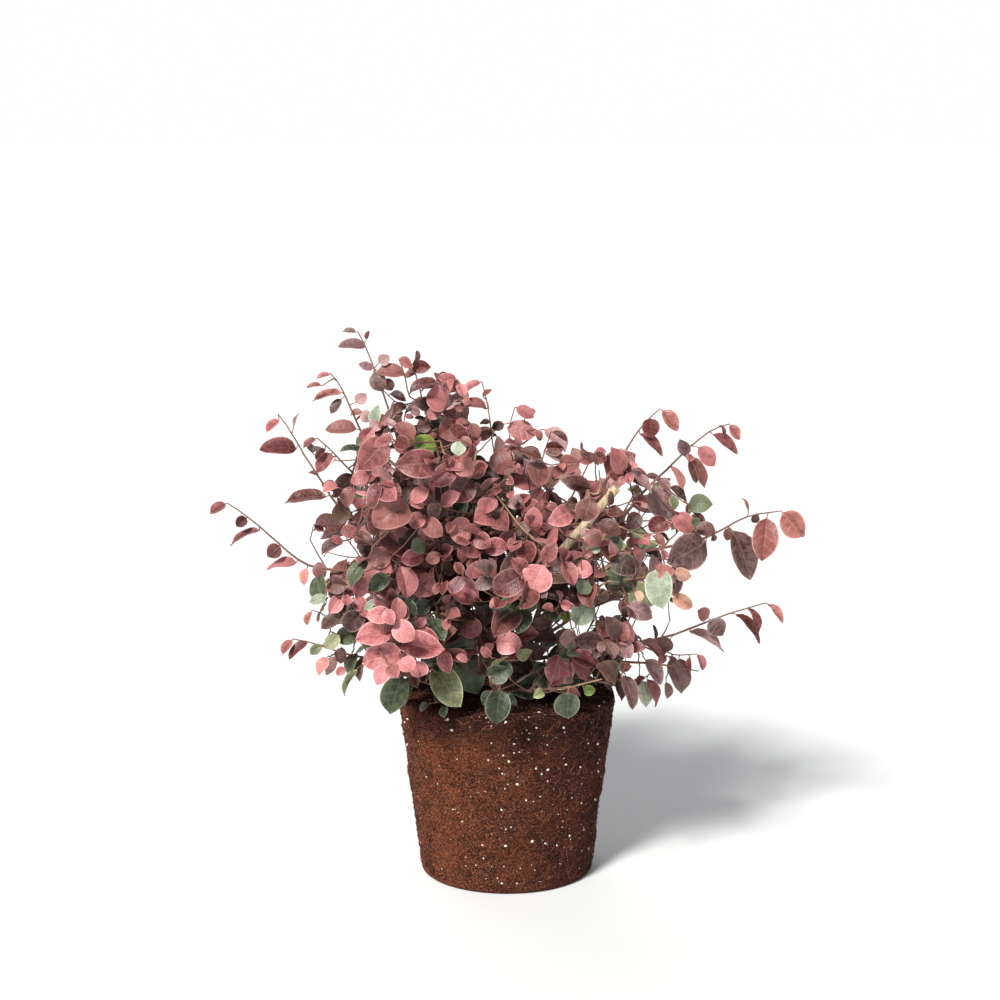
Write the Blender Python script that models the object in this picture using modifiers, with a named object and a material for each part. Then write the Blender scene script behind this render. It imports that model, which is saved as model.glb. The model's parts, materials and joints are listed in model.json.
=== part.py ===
"""A fringe flower shrub that stands on its bare root ball.

A short trunk rises from the root ball and forks into tapering boughs. A bough ends where it
enters its mass of foliage, and the lowest masses spring from the trunk itself. In a mass, one
stem carries side twigs, and stem and twigs carry leaves in two ranks, all fused into one solid.
Metres, +Z up, front towards -Y, origin at the centre of the root ball's flat underside.
"""

import math
import random
from collections import namedtuple

import bmesh
import bpy
import numpy as np
from mathutils import Matrix, Vector
from mathutils.bvhtree import BVHTree

OBJECT_NAME = "fringe_flower_shrub"
GAP = 0.0003
CUTTER_GAP = 0.0004
WELD = 1e-7

# Root ball: the plug of roots and potting mix that keeps the form of its container
BALL_HEIGHT = 0.223
BALL_TOP_RADIUS = 0.133
BALL_BASE_RADIUS = 0.105
BALL_EDGE = 0.009
BALL_BEVEL_SHARE = 0.3
BALL_FOOT_EDGE = 0.0063
BALL_STEPS = 28
BALL_MERGE = 0.00005
BALL_CLEARANCE = 0.003

# Trunk: flared foot, slight lean to the left, then a fork
TRUNK_HEIGHT = 0.050
TRUNK_FOOT_RADIUS = 0.021
TRUNK_WAIST_RADIUS = 0.0125
TRUNK_TIP_RADIUS = 0.0085
TRUNK_LEAN = -0.007
TRUNK_FLARE_SHARE = 0.28
TRUNK_RINGS = (0.0, 0.07, 0.16, 0.37, 0.58, 0.79, 1.0)
TRUNK_SIDES = 10

# Limbs
BOUGH_FOOT_RADIUS = 0.0056
BOUGH_TIP_RADIUS = 0.0020
SIDE_BOUGH_SHARE = 0.72
BOUGH_SIDES = 6
LIMB_POINTS = 5
LIMB_CLEARANCE = 0.0015
STRAIGHT_END = 0.004

# The old limb that was sawn off above the right bough
SAWN_RADIUS = 0.0052
SAWN_SIDES = 8
SAWN_FOOT = 0.10
SAWN_BEND = (0.074, -0.072, 0.420)
SAWN_END = (0.127, -0.080, 0.487)

# Twigs of a mass
STEM_TIP_RADIUS = 0.0013
LOW_STEM_RADIUS = 0.0030
TWIG_FOOT_RADIUS = 0.0018
TWIG_TIP_RADIUS = 0.0013
TWIG_ANGLE = math.radians(52)
TWIG_STEP = 0.025
TWIGS_SHARE = 0.82
TWIGS_LEAST = 2
TWIG_SHRINK = 0.62
TWIG_SIZES = (0.85, 1.1)
TWIG_TRIES = (1.0, 0.75, 0.5)
TWIG_ROOT = 0.008
TWIG_LIFT = 0.1
STEM_POINTS = 4
STEM_SIDES = 3
STEM_START = 0.010
LOW_STEM_START = 0.045
TWIG_LEAST = 0.026
TWIG_LEAVES = 2
TWIG_TURNS = (8, 172, 62, 118)
TWIG_TURN_SWAY = 22

# Leaves. The outline's points are a share of the length and a share of the half width
LEAF_STEP = 0.0245
LEAF_WIDTH = 0.70
LEAF_THICKNESS = 0.03
LEAF_FOLD = 0.07
LEAF_CREST = 0.42
LEAF_OUTLINE = {-1: (0.13, 0.10), 0: (0.40, 1.0), 1: (0.74, 0.86)}
LEAF_SINK = 0.0005
LEAF_ROOT = 0.0065
TIP_LEAF = 0.6
TIP_SINK = 0.003
TIP_DROOP = 0.7
LEAF_TRIES = (1.0, 0.9, 0.8)
LEAF_ANGLE = math.radians(62)
LEAF_SWAY = 0.3
LEAF_DROOP = 0.25
LEAF_LARGEST = 1.05
LEAF_SIZES = (0.88, 1.1)
LEAF_SHRINK = 0.35
FACE_OUT = 0.85
FACE_UP = 0.42
FACE_TURN = 0.8
FACE_SWING = 1.1
BACK_START = 0.03
SPACE_MARGIN = 0.0015
AXIS_START = 0.25
AXIS_SAMPLES = 14
FUSED_SHARE = 0.9
FEWER_PIECES = 2

# Colours, roughness
BALL_LOOK = ((0.115, 0.043, 0.027), 0.95)
BARK_LOOK = ((0.23, 0.135, 0.09), 0.8)
TINTS = {
    "burgundy": ((0.29, 0.095, 0.10), 0.5),
    "plum": ((0.13, 0.052, 0.052), 0.5),
    "rose": ((0.52, 0.18, 0.19), 0.5),
    "olive": ((0.16, 0.13, 0.085), 0.55),
}

# A shoot's tip lies at an azimuth in degrees from +X, at a reach from the axis and a height. It
# leaves its carrier at a share of the carrier's length and bends towards a point that has its
# lean and rise, as shares of the way out and of the way up. The bare share is its bough. Bush is
# the length of its longest side twig, and blade the length of its leaves. The seed settles the
# small differences between its leaves.
Shoot = namedtuple("Shoot", "name carrier foot azimuth reach height lean rise bare bush blade tint seed")
SHOOTS = (
    Shoot("top", "trunk", 1.00, 165, 0.058, 0.596, 0.45, 0.50, 0.44, 0.090, 0.054, "burgundy", 2),
    Shoot("front", "trunk", 0.84, 278, 0.245, 0.400, 0.50, 0.66, 0.26, 0.110, 0.058, "burgundy", 7),
    Shoot("back", "trunk", 0.90, 88, 0.262, 0.430, 0.50, 0.62, 0.36, 0.110, 0.058, "plum", 3),
    Shoot("left", "trunk", 0.80, 185, 0.340, 0.455, 0.51, 0.78, 0.42, 0.075, 0.050, "burgundy", 4),
    Shoot("right", "trunk", 0.86, 353, 0.332, 0.450, 0.55, 1.08, 0.42, 0.070, 0.060, "burgundy", 6),
    Shoot("spike", "top", 0.20, 176, 0.170, 0.648, 0.82, 0.45, 0.44, 0.062, 0.044, "burgundy", 2),
    Shoot("arch", "spike", 0.55, 180, 0.214, 0.600, 0.45, 0.80, 0.35, 0.058, 0.046, "burgundy", 4),
    Shoot("crest", "top", 0.52, 200, 0.116, 0.624, 0.62, 0.50, 0.35, 0.070, 0.050, "burgundy", 3),
    Shoot("peak", "top", 0.60, 325, 0.026, 0.560, 0.60, 0.45, 0.25, 0.080, 0.052, "burgundy", 6),
    Shoot("saddle", "top", 0.35, 330, 0.112, 0.515, 0.60, 0.45, 0.30, 0.095, 0.056, "plum", 5),
    Shoot("brow", "top", 0.40, 256, 0.185, 0.535, 0.60, 0.50, 0.30, 0.095, 0.056, "burgundy", 2),
    Shoot("crown_back", "top", 0.45, 108, 0.165, 0.556, 0.60, 0.50, 0.34, 0.095, 0.056, "plum", 2),
    Shoot("left_upper", "left", 0.45, 174, 0.264, 0.554, 0.65, 0.45, 0.36, 0.062, 0.048, "burgundy", 6),
    Shoot("left_middle", "left", 0.25, 199, 0.222, 0.528, 0.42, 0.68, 0.40, 0.080, 0.050, "burgundy", 4),
    Shoot("right_spike", "right", 0.25, 354, 0.194, 0.558, 0.36, 0.80, 0.38, 0.065, 0.048, "burgundy", 5),
    Shoot("right_upper", "right", 0.50, 4, 0.270, 0.540, 0.42, 0.70, 0.32, 0.065, 0.048, "burgundy", 0),
    Shoot("front_left", "front", 0.40, 230, 0.262, 0.455, 0.50, 0.55, 0.26, 0.105, 0.058, "burgundy", 6),
    Shoot("front_right", "front", 0.60, 310, 0.255, 0.410, 0.50, 0.60, 0.26, 0.105, 0.056, "burgundy", 6),
    Shoot("breast", "top", 0.25, 292, 0.200, 0.485, 0.60, 0.50, 0.32, 0.100, 0.056, "burgundy", 4),
    Shoot("back_left", "back", 0.30, 137, 0.274, 0.465, 0.50, 0.55, 0.36, 0.105, 0.058, "plum", 7),
    Shoot("back_right", "back", 0.45, 45, 0.274, 0.440, 0.50, 0.60, 0.32, 0.105, 0.058, "plum", 3),
    Shoot("left_low", "trunk", 0.40, 186, 0.258, 0.300, 0.60, 1.40, 0.0, 0.095, 0.050, "plum", 3),
    Shoot("left_foot", "trunk", 0.30, 210, 0.210, 0.245, 0.55, 1.80, 0.0, 0.090, 0.052, "olive", 5),
    Shoot("rose", "trunk", 0.66, 234, 0.245, 0.325, 0.45, 1.05, 0.0, 0.095, 0.056, "rose", 2),
    Shoot("rim", "trunk", 0.45, 256, 0.185, 0.240, 0.55, 1.60, 0.0, 0.085, 0.054, "olive", 1),
    Shoot("front_low", "trunk", 0.34, 286, 0.185, 0.242, 0.55, 1.70, 0.0, 0.085, 0.054, "olive", 0),
    Shoot("front_foot", "trunk", 0.52, 314, 0.225, 0.262, 0.55, 1.50, 0.0, 0.095, 0.054, "plum", 7),
    Shoot("right_foot", "trunk", 0.36, 340, 0.240, 0.268, 0.55, 1.60, 0.0, 0.095, 0.052, "plum", 0),
    Shoot("right_low", "trunk", 0.66, 2, 0.314, 0.325, 0.50, 0.95, 0.0, 0.100, 0.052, "burgundy", 3),
    Shoot("back_foot_left", "trunk", 0.48, 140, 0.264, 0.295, 0.55, 1.40, 0.0, 0.105, 0.056, "plum", 1),
    Shoot("back_foot", "trunk", 0.34, 92, 0.250, 0.285, 0.55, 1.50, 0.0, 0.105, 0.056, "plum", 0),
    Shoot("back_foot_right", "trunk", 0.50, 46, 0.264, 0.300, 0.55, 1.40, 0.0, 0.105, 0.056, "plum", 1),
)


def clear_scene():
    for thing in list(bpy.data.objects):
        bpy.data.objects.remove(thing, do_unlink=True)


def new_collection(name):
    collection = bpy.data.collections.new(name)
    bpy.context.scene.collection.children.link(collection)
    return collection


def finish(thing, look):
    """Gives the object a material of its own."""
    colour, roughness = look
    material = bpy.data.materials.new(thing.name)
    material.use_nodes = True
    shader = material.node_tree.nodes["Principled BSDF"]
    shader.inputs["Base Color"].default_value = (*colour, 1.0)
    shader.inputs["Roughness"].default_value = roughness
    shader.inputs["Metallic"].default_value = 0.0
    thing.data.materials.clear()
    thing.data.materials.append(material)


def applied_mesh(thing):
    """The object's mesh with its modifiers or its bevel worked in, and its loose caps welded."""
    bpy.context.view_layer.update()
    graph = bpy.context.evaluated_depsgraph_get()
    mesh = bpy.data.meshes.new_from_object(thing.evaluated_get(graph))
    shell = bmesh.new()
    shell.from_mesh(mesh)
    bmesh.ops.remove_doubles(shell, verts=shell.verts, dist=WELD)
    shell.to_mesh(mesh)
    shell.free()
    return mesh


def tube(name, points, radii, sides, collection):
    """A tapering tube of flat sides along the points, as a mesh object."""
    ring = bpy.data.curves.new(name + "_ring", "CURVE")
    ring.dimensions = "2D"
    outline = ring.splines.new("POLY")
    outline.points.add(sides - 1)
    outline.use_cyclic_u = True
    for number, place in enumerate(outline.points):
        turn = -2 * math.pi * number / sides
        place.co = (math.cos(turn), math.sin(turn), 0.0, 1.0)
    section = bpy.data.objects.new(name + "_ring", ring)
    collection.objects.link(section)
    curve = bpy.data.curves.new(name, "CURVE")
    curve.dimensions = "3D"
    curve.bevel_mode = "OBJECT"
    curve.bevel_object = section
    curve.use_fill_caps = True
    spline = curve.splines.new("POLY")
    spline.points.add(len(points) - 1)
    for place, point, radius in zip(spline.points, points, radii):
        place.co = (*point, 1.0)
        place.radius = radius
    guide = bpy.data.objects.new(name + "_guide", curve)
    collection.objects.link(guide)
    thing = bpy.data.objects.new(name, applied_mesh(guide))
    collection.objects.link(thing)
    bpy.data.objects.remove(guide)
    bpy.data.objects.remove(section)
    return thing


def cut(thing, cutter):
    modifier = thing.modifiers.new("clear_" + cutter.name[:40], "BOOLEAN")
    modifier.operation = "DIFFERENCE"
    modifier.solver = "EXACT"
    modifier.object = cutter


def apply_cuts(thing):
    mesh = applied_mesh(thing)
    thing.modifiers.clear()
    thing.data = mesh


def shell_of(thing):
    mesh = thing.data
    corners = [corner.co.copy() for corner in mesh.vertices]
    return BVHTree.FromPolygons(corners, [list(face.vertices) for face in mesh.polygons])


def cut_clear(thing, cutters):
    """Cuts the object clear of each cutter that it crosses."""
    shell = shell_of(thing)
    for cutter in cutters:
        if shell.overlap(shell_of(cutter)):
            cut(thing, cutter)
    apply_cuts(thing)


class Bend:
    """A quadratic curve from a start, bent towards a middle point, to a tip."""

    def __init__(self, start, middle, tip):
        self.start = np.array(start)
        self.middle = np.array(middle)
        self.tip = np.array(tip)

    def at(self, share):
        rest = 1.0 - share
        return rest * rest * self.start + 2 * rest * share * self.middle + share * share * self.tip

    def heading(self, share):
        slope = (1 - share) * (self.middle - self.start) + share * (self.tip - self.middle)
        return slope / np.linalg.norm(slope)


class Run:
    """Straight runs from point to point, measured by the length along them."""

    def __init__(self, points):
        self.points = np.array(points)
        steps = np.diff(self.points, axis=0)
        lengths = np.linalg.norm(steps, axis=1)
        self.headings = steps / lengths[:, None]
        self.marks = np.concatenate([[0.0], np.cumsum(lengths)])
        self.length = self.marks[-1]

    def at(self, along):
        return np.array([np.interp(along, self.marks, column) for column in self.points.T])

    def heading(self, along):
        """The direction there, turned evenly from the middle of one run to that of the next."""
        middles = (self.marks[:-1] + self.marks[1:]) / 2
        turned = np.array([np.interp(along, middles, column) for column in self.headings.T])
        return turned / np.linalg.norm(turned)


def root_ball(collection):
    """A turned plug: flat top, slightly rounded rims, sides that draw in to a flat underside."""
    bevel = BALL_BEVEL_SHARE * BALL_EDGE
    profile = [
        (0.0, BALL_HEIGHT),
        (BALL_TOP_RADIUS - BALL_EDGE, BALL_HEIGHT),
        (BALL_TOP_RADIUS - bevel, BALL_HEIGHT - bevel),
        (BALL_TOP_RADIUS, BALL_HEIGHT - BALL_EDGE),
        (BALL_BASE_RADIUS, BALL_FOOT_EDGE),
        (BALL_BASE_RADIUS - BALL_FOOT_EDGE, 0.0),
        (0.0, 0.0),
    ]
    mesh = bpy.data.meshes.new("root_ball")
    points = [(radius, 0.0, height) for radius, height in profile]
    edges = [(index, index + 1) for index in range(len(points) - 1)]
    mesh.from_pydata(points, edges, [])
    ball = bpy.data.objects.new("root_ball", mesh)
    collection.objects.link(ball)
    turn = ball.modifiers.new("turn", "SCREW")
    turn.steps = turn.render_steps = BALL_STEPS
    turn.use_merge_vertices = True
    turn.merge_threshold = BALL_MERGE
    apply_cuts(ball)
    ball.data.shade_smooth()
    ball.data.set_sharp_from_angle(angle=math.radians(30))
    finish(ball, BALL_LOOK)


def trunk_curve():
    start = (0.0, 0.0, BALL_HEIGHT + GAP)
    middle = (0.0, 0.0, start[2] + 0.5 * TRUNK_HEIGHT)
    tip = (TRUNK_LEAN, 0.0, start[2] + TRUNK_HEIGHT)
    return Bend(start, middle, tip)


def trunk_radius(share):
    """Falls fast through the root flare, then slowly to the fork."""
    flare = max(0.0, 1.0 - share / TRUNK_FLARE_SHARE) ** 2
    waist = TRUNK_WAIST_RADIUS + (TRUNK_TIP_RADIUS - TRUNK_WAIST_RADIUS) * share
    return waist + (TRUNK_FOOT_RADIUS - TRUNK_WAIST_RADIUS) * flare


def straight_ends(curve, first, last, count):
    """Points along part of the curve, with a short straight run at each end."""
    points = [curve.at(share) for share in np.linspace(first, last, count)]
    begin = points[0] + STRAIGHT_END * curve.heading(first)
    end = points[-1] - STRAIGHT_END * curve.heading(last)
    return [points[0], begin, *points[1:-1], end, points[-1]]


def make_trunk(collection, cutters):
    """Makes the trunk and returns its clearance. The second ring stands straight over the first,
    so that the foot is flat."""
    curve = trunk_curve()
    points = [curve.at(share) for share in TRUNK_RINGS]
    points[1][0] = points[0][0]
    radii = [trunk_radius(share) for share in TRUNK_RINGS]
    trunk = tube("trunk", points, radii, TRUNK_SIDES, collection)
    finish(trunk, BARK_LOOK)
    wide = [radius + CUTTER_GAP for radius in radii]
    return tube("trunk_clearance", points, wide, TRUNK_SIDES, cutters)


def shoot_curves():
    """Each shoot's curve. A shoot starts on its carrier's axis."""
    curves = {"trunk": trunk_curve()}
    bares = {"trunk": 1.0}
    for shoot in SHOOTS:
        start = curves[shoot.carrier].at(shoot.foot * bares[shoot.carrier])
        if shoot.name == "top":
            start = start + GAP * curves["trunk"].heading(1.0)
        turn = math.radians(shoot.azimuth)
        tip = np.array((shoot.reach * math.cos(turn), shoot.reach * math.sin(turn), shoot.height))
        way = tip - start
        middle = start + way * np.array((shoot.lean, shoot.lean, shoot.rise))
        if shoot.name == "top":
            middle[:2] = start[:2] + 0.5 * way[2] * curves["trunk"].heading(1.0)[:2]
        curves[shoot.name] = Bend(start, middle, tip)
        bares[shoot.name] = shoot.bare
    return curves


def bough_radii(shoot):
    """The foot and tip radius of a bough. A side bough is slimmer than its carrier where it starts."""
    if shoot.name == "top":
        return TRUNK_TIP_RADIUS, BOUGH_TIP_RADIUS
    if shoot.carrier == "trunk":
        return BOUGH_FOOT_RADIUS, BOUGH_TIP_RADIUS
    carrier = next(other for other in SHOOTS if other.name == shoot.carrier)
    foot, tip = bough_radii(carrier)
    return SIDE_BOUGH_SHARE * (foot + (tip - foot) * shoot.foot), BOUGH_TIP_RADIUS


def limb_segments(curves):
    """Every limb as short straight runs with a radius, for the test of what a leaf would touch."""
    runs = []
    trunk = curves["trunk"]
    for first, last in zip(TRUNK_RINGS[:-1], TRUNK_RINGS[1:]):
        runs.append((trunk.at(first), trunk.at(last), trunk_radius(first)))
    for shoot in SHOOTS:
        if not shoot.bare:
            continue
        foot, tip = bough_radii(shoot)
        shares = np.linspace(0, shoot.bare, LIMB_POINTS)
        for first, last in zip(shares[:-1], shares[1:]):
            radius = foot + (tip - foot) * first / shoot.bare
            runs.append((curves[shoot.name].at(first), curves[shoot.name].at(last), radius))
    sawn = sawn_limb_curve(curves)
    shares = np.linspace(0, 1, LIMB_POINTS)
    for first, last in zip(shares[:-1], shares[1:]):
        runs.append((sawn.at(first), sawn.at(last), SAWN_RADIUS))
    starts, ends, radii = (np.array(column) for column in zip(*runs))
    return starts, ends, radii


def sawn_limb_curve(curves):
    return Bend(curves["top"].at(SAWN_FOOT), SAWN_BEND, SAWN_END)


def make_boughs(curves, trunk_clearance, collection, cutters):
    """Makes the boughs and the sawn limb, each cut clear of the trunk and of the boughs before it
    that it grows from or past. Returns the clearances."""
    clearances = {"trunk": trunk_clearance}
    for shoot in SHOOTS:
        if not shoot.bare:
            continue
        foot, tip = bough_radii(shoot)
        points = straight_ends(curves[shoot.name], 0.0, shoot.bare, LIMB_POINTS)
        radii = list(np.linspace(foot, tip, len(points)))
        bough = tube("bough_" + shoot.name, points, radii, BOUGH_SIDES, collection)
        cut_clear(bough, clearances.values())
        finish(bough, BARK_LOOK)
        wide = [radius + CUTTER_GAP for radius in radii]
        name = shoot.name + "_clearance"
        clearances[shoot.name] = tube(name, points, wide, BOUGH_SIDES, cutters)
    curve = sawn_limb_curve(curves)
    points = straight_ends(curve, 0.0, 1.0, LIMB_POINTS)
    limb = tube("sawn_limb", points, [SAWN_RADIUS] * len(points), SAWN_SIDES, collection)
    cut_clear(limb, clearances.values())
    finish(limb, BARK_LOOK)
    return list(clearances.values())


def leaf_mesh():
    """A leaf of unit length along +X, its face up: a flat cone of eight sides, drawn out to a
    pointed oval on a narrow stalk, folded along the midrib and drooping at its tip."""
    shell = bmesh.new()
    bmesh.ops.create_cone(shell, cap_ends=True, segments=8, radius1=1.0, radius2=0.0, depth=1.0)
    half = 0.5 * LEAF_WIDTH
    ends = []
    for corner in shell.verts:
        x, y, z = corner.co
        if z > 0:
            corner.co = (LEAF_CREST, 0.0, LEAF_THICKNESS)
        elif abs(x) < 0.1:
            corner.co = (1.0, 0.0, -LEAF_FOLD) if y > 0 else (0.0, 0.0, 0.0)
            ends.append(corner)
        else:
            along, width = LEAF_OUTLINE[round(y / 0.7)]
            corner.co = (along, math.copysign(half * width, -x), LEAF_FOLD * width)
    bmesh.ops.connect_verts(shell, verts=ends)
    bmesh.ops.triangulate(shell, faces=shell.faces)
    bmesh.ops.recalc_face_normals(shell, faces=shell.faces)
    mesh = bpy.data.meshes.new("leaf")
    shell.to_mesh(mesh)
    shell.free()
    return mesh


def twig_mesh(length, foot, tip):
    """A straight three-sided twig along +X."""
    shell = bmesh.new()
    bmesh.ops.create_cone(
        shell, cap_ends=True, segments=3, radius1=foot, radius2=tip, depth=length
    )
    along = Matrix.Rotation(math.radians(90), 4, "Y")
    bmesh.ops.transform(shell, matrix=Matrix.Translation((length / 2, 0, 0)) @ along, verts=shell.verts)
    mesh = bpy.data.meshes.new("twig")
    shell.to_mesh(mesh)
    shell.free()
    return mesh


def facing(place):
    """Where a leaf's face looks at this place: out from the plant's axis, up, and to the front
    or, behind the axis, to the back."""
    out = np.array((place[0], place[1], 0.0))
    out /= max(np.linalg.norm(out), 1e-6)
    turn = FACE_TURN if place[1] > BACK_START else -FACE_TURN
    face = FACE_OUT * out + np.array((0.0, turn, FACE_UP))
    return face / np.linalg.norm(face)


def swung(face, angle):
    """The direction turned about the vertical."""
    across = math.cos(angle) * face[0] - math.sin(angle) * face[1]
    ahead = math.sin(angle) * face[0] + math.cos(angle) * face[1]
    return np.array((across, ahead, face[2]))


def pose(place, heading, face):
    """A matrix whose X is the heading and whose Z is as near the face as it can be."""
    ahead = Vector(heading).normalized()
    across = Vector(face).cross(ahead).normalized()
    matrix = Matrix((ahead, across, ahead.cross(across))).transposed().to_4x4()
    matrix.translation = Vector(place)
    return matrix


class Space:
    """The room of each mass: the points that lie nearer its axis than any other's, clear of the
    limbs and of the root ball."""

    def __init__(self, curves):
        self.starts, self.ends, self.radii = limb_segments(curves)
        self.axes = []
        for shoot in SHOOTS:
            shares = np.linspace(max(shoot.bare, AXIS_START), 1.0, AXIS_SAMPLES)
            self.axes.append(np.array([curves[shoot.name].at(share) for share in shares]))

    def limb_distance(self, points):
        along = self.ends - self.starts
        offset = points[:, None] - self.starts
        share = (offset * along).sum(axis=2) / (along * along).sum(axis=1)
        nearest = self.starts + np.clip(share, 0, 1)[..., None] * along
        return (np.linalg.norm(points[:, None] - nearest, axis=2) - self.radii).min()

    def own(self, points, index):
        gaps = [np.linalg.norm(points[:, None] - axis, axis=2).min(axis=1) for axis in self.axes]
        mine = gaps.pop(index)
        return (np.min(gaps, axis=0) - mine).min() > SPACE_MARGIN

    def above_ball(self, points):
        radius = np.hypot(points[:, 0], points[:, 1])
        rise = np.clip(points[:, 2] / BALL_HEIGHT, 0, 1)
        side = BALL_BASE_RADIUS + (BALL_TOP_RADIUS - BALL_BASE_RADIUS) * rise
        clear = (points[:, 2] > BALL_HEIGHT + BALL_CLEARANCE) | (radius > side + BALL_CLEARANCE)
        return clear.all()

    def free(self, points, index):
        return (
            self.above_ball(points)
            and self.limb_distance(points) > LIMB_CLEARANCE
            and self.own(points, index)
        )


class Mass:
    """Grows the stem, side twigs and leaves of one shoot."""

    def __init__(self, index, shoot, curve, space, leaf):
        self.index = index
        self.shoot = shoot
        self.curve = curve
        self.space = space
        self.leaf = leaf
        self.draw = random.Random(shoot.seed)
        self.pieces = []
        self.shells = []

    def crosses(self, shell, carrier):
        return any(shell.overlap(other) for name, other in self.shells if name != carrier)

    def keep(self, name, mesh, matrix, carrier, root):
        """Adds the piece if it stays in the mass's space, beyond its root, and crosses none of the
        mass's other pieces but its carrier's."""
        corners = [matrix @ corner.co for corner in mesh.vertices]
        middles = [(corners[a] + corners[b]) / 2 for a, b in (edge.vertices for edge in mesh.edges)]
        points = np.array(corners + middles)
        away = np.linalg.norm(points - np.array(matrix.translation), axis=1) > root
        if not self.space.free(points[away], self.index):
            return False
        shell = BVHTree.FromPolygons(corners, [list(face.vertices) for face in mesh.polygons])
        if self.crosses(shell, carrier):
            return False
        self.shells.append((name, shell))
        self.pieces.append((mesh, matrix))
        return True

    def sway(self):
        return np.array([self.draw.uniform(-1, 1) for _ in range(3)]) * LEAF_SWAY

    def add_leaf(self, name, place, ahead, side, length, carrier):
        for share in LEAF_TRIES:
            swing = self.draw.uniform(-1, 1) * FACE_SWING
            face = swung(facing(place), swing) + self.sway()
            across = np.cross(ahead, face)
            across /= np.linalg.norm(across)
            heading = math.cos(LEAF_ANGLE) * ahead + side * math.sin(LEAF_ANGLE) * across
            heading = heading + self.sway() - np.array((0, 0, LEAF_DROOP))
            heading /= np.linalg.norm(heading)
            matrix = pose(place - LEAF_SINK * heading, heading, face) @ Matrix.Scale(share * length, 4)
            if self.keep(name, self.leaf, matrix, carrier, LEAF_ROOT):
                return

    def add_leaves(self, carrier, run, start):
        """Leaves in two ranks along the carrier from a start, and one at its tip."""
        count = max(1, round((run.length - start) / LEAF_STEP))
        for step in range(count):
            along = start + (run.length - start) * (step + 0.5) / count
            size = LEAF_LARGEST - LEAF_SHRINK * (along / run.length) ** 2
            size *= self.shoot.blade * self.draw.uniform(*LEAF_SIZES)
            side = 1 if step % 2 else -1
            self.add_leaf(f"{carrier}_{step}", run.at(along), run.heading(along), side, size, carrier)
        ahead = run.heading(run.length)
        tip = run.at(run.length) - TIP_SINK * ahead
        size = self.shoot.blade * TIP_LEAF
        matrix = pose(tip, ahead - np.array((0, 0, TIP_DROOP)), facing(tip))
        self.keep(carrier + "_tip", self.leaf, matrix @ Matrix.Scale(size, 4), carrier, LEAF_ROOT)

    def grow(self):
        """Grows the mass and returns its stem's points and radii."""
        shoot = self.shoot
        points = straight_ends(self.curve, shoot.bare, 1.0, STEM_POINTS)
        if shoot.bare:
            points[0] = points[0] + GAP * self.curve.heading(shoot.bare)
        foot = BOUGH_TIP_RADIUS if shoot.bare else LOW_STEM_RADIUS
        radii = list(np.linspace(foot, STEM_TIP_RADIUS, len(points)))
        run = Run(points)
        start = STEM_START if shoot.bare else LOW_STEM_START
        leafy = run.length - start
        twigs = max(TWIGS_LEAST, round(TWIGS_SHARE * leafy / TWIG_STEP))
        for step in range(twigs):
            share = TWIGS_SHARE * step / twigs
            along = start + leafy * share
            reach = shoot.bush * (1.0 - TWIG_SHRINK * share) * self.draw.uniform(*TWIG_SIZES)
            if reach < TWIG_LEAST:
                continue
            turn = TWIG_TURNS[step % len(TWIG_TURNS)] + self.draw.uniform(-1, 1) * TWIG_TURN_SWAY
            self.add_twig(step, run.at(along), run.heading(along), math.radians(turn), reach)
        self.add_leaves("stem", run, start)
        return points, radii

    def add_twig(self, step, place, ahead, turn, reach):
        """A straight twig, shorter where its room is short, with two leaves or more."""
        across = np.cross(ahead, facing(place))
        across /= np.linalg.norm(across)
        over = np.cross(across, ahead)
        outward = math.cos(turn) * across + math.sin(turn) * over
        heading = math.cos(TWIG_ANGLE) * ahead + math.sin(TWIG_ANGLE) * outward
        heading = heading + np.array((0, 0, TWIG_LIFT))
        heading /= np.linalg.norm(heading)
        name = f"twig{step}"
        for share in TWIG_TRIES:
            run = Run([place, place + reach * share * heading])
            mesh = twig_mesh(run.length, TWIG_FOOT_RADIUS, TWIG_TIP_RADIUS)
            matrix = pose(place, heading, facing(place))
            kept = len(self.pieces)
            if self.keep(name, mesh, matrix, "stem", TWIG_ROOT):
                self.add_leaves(name, run, TWIG_ROOT)
                if len(self.pieces) > kept + TWIG_LEAVES:
                    return
                del self.pieces[kept:]
                del self.shells[kept:]


def linked(corner):
    """Every corner that edges join to this one."""
    body = {corner}
    edge = [corner]
    while edge:
        for link in edge.pop().link_edges:
            fresh = set(link.verts) - body
            body |= fresh
            edge.extend(fresh)
    return body


def closed_body(mesh):
    """Keeps the mesh's largest body, which drops loose scraps and fills sealed hollows. Returns
    None where that body isn't closed."""
    shell = bmesh.new()
    shell.from_mesh(mesh)
    bmesh.ops.remove_doubles(shell, verts=shell.verts, dist=WELD)
    bmesh.ops.triangulate(shell, faces=shell.faces)
    left = set(shell.verts)
    bodies = []
    while left:
        bodies.append(linked(next(iter(left))))
        left -= bodies[-1]
    bodies.sort(key=len)
    for body in bodies[:-1]:
        bmesh.ops.delete(shell, geom=list(body), context="VERTS")
    whole = all(link.is_manifold for link in shell.edges) and shell.calc_volume() > 0
    shell.to_mesh(mesh)
    shell.free()
    return mesh if whole else None


def volume(mesh):
    shell = bmesh.new()
    shell.from_mesh(mesh)
    amount = shell.calc_volume()
    shell.free()
    return amount


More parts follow.
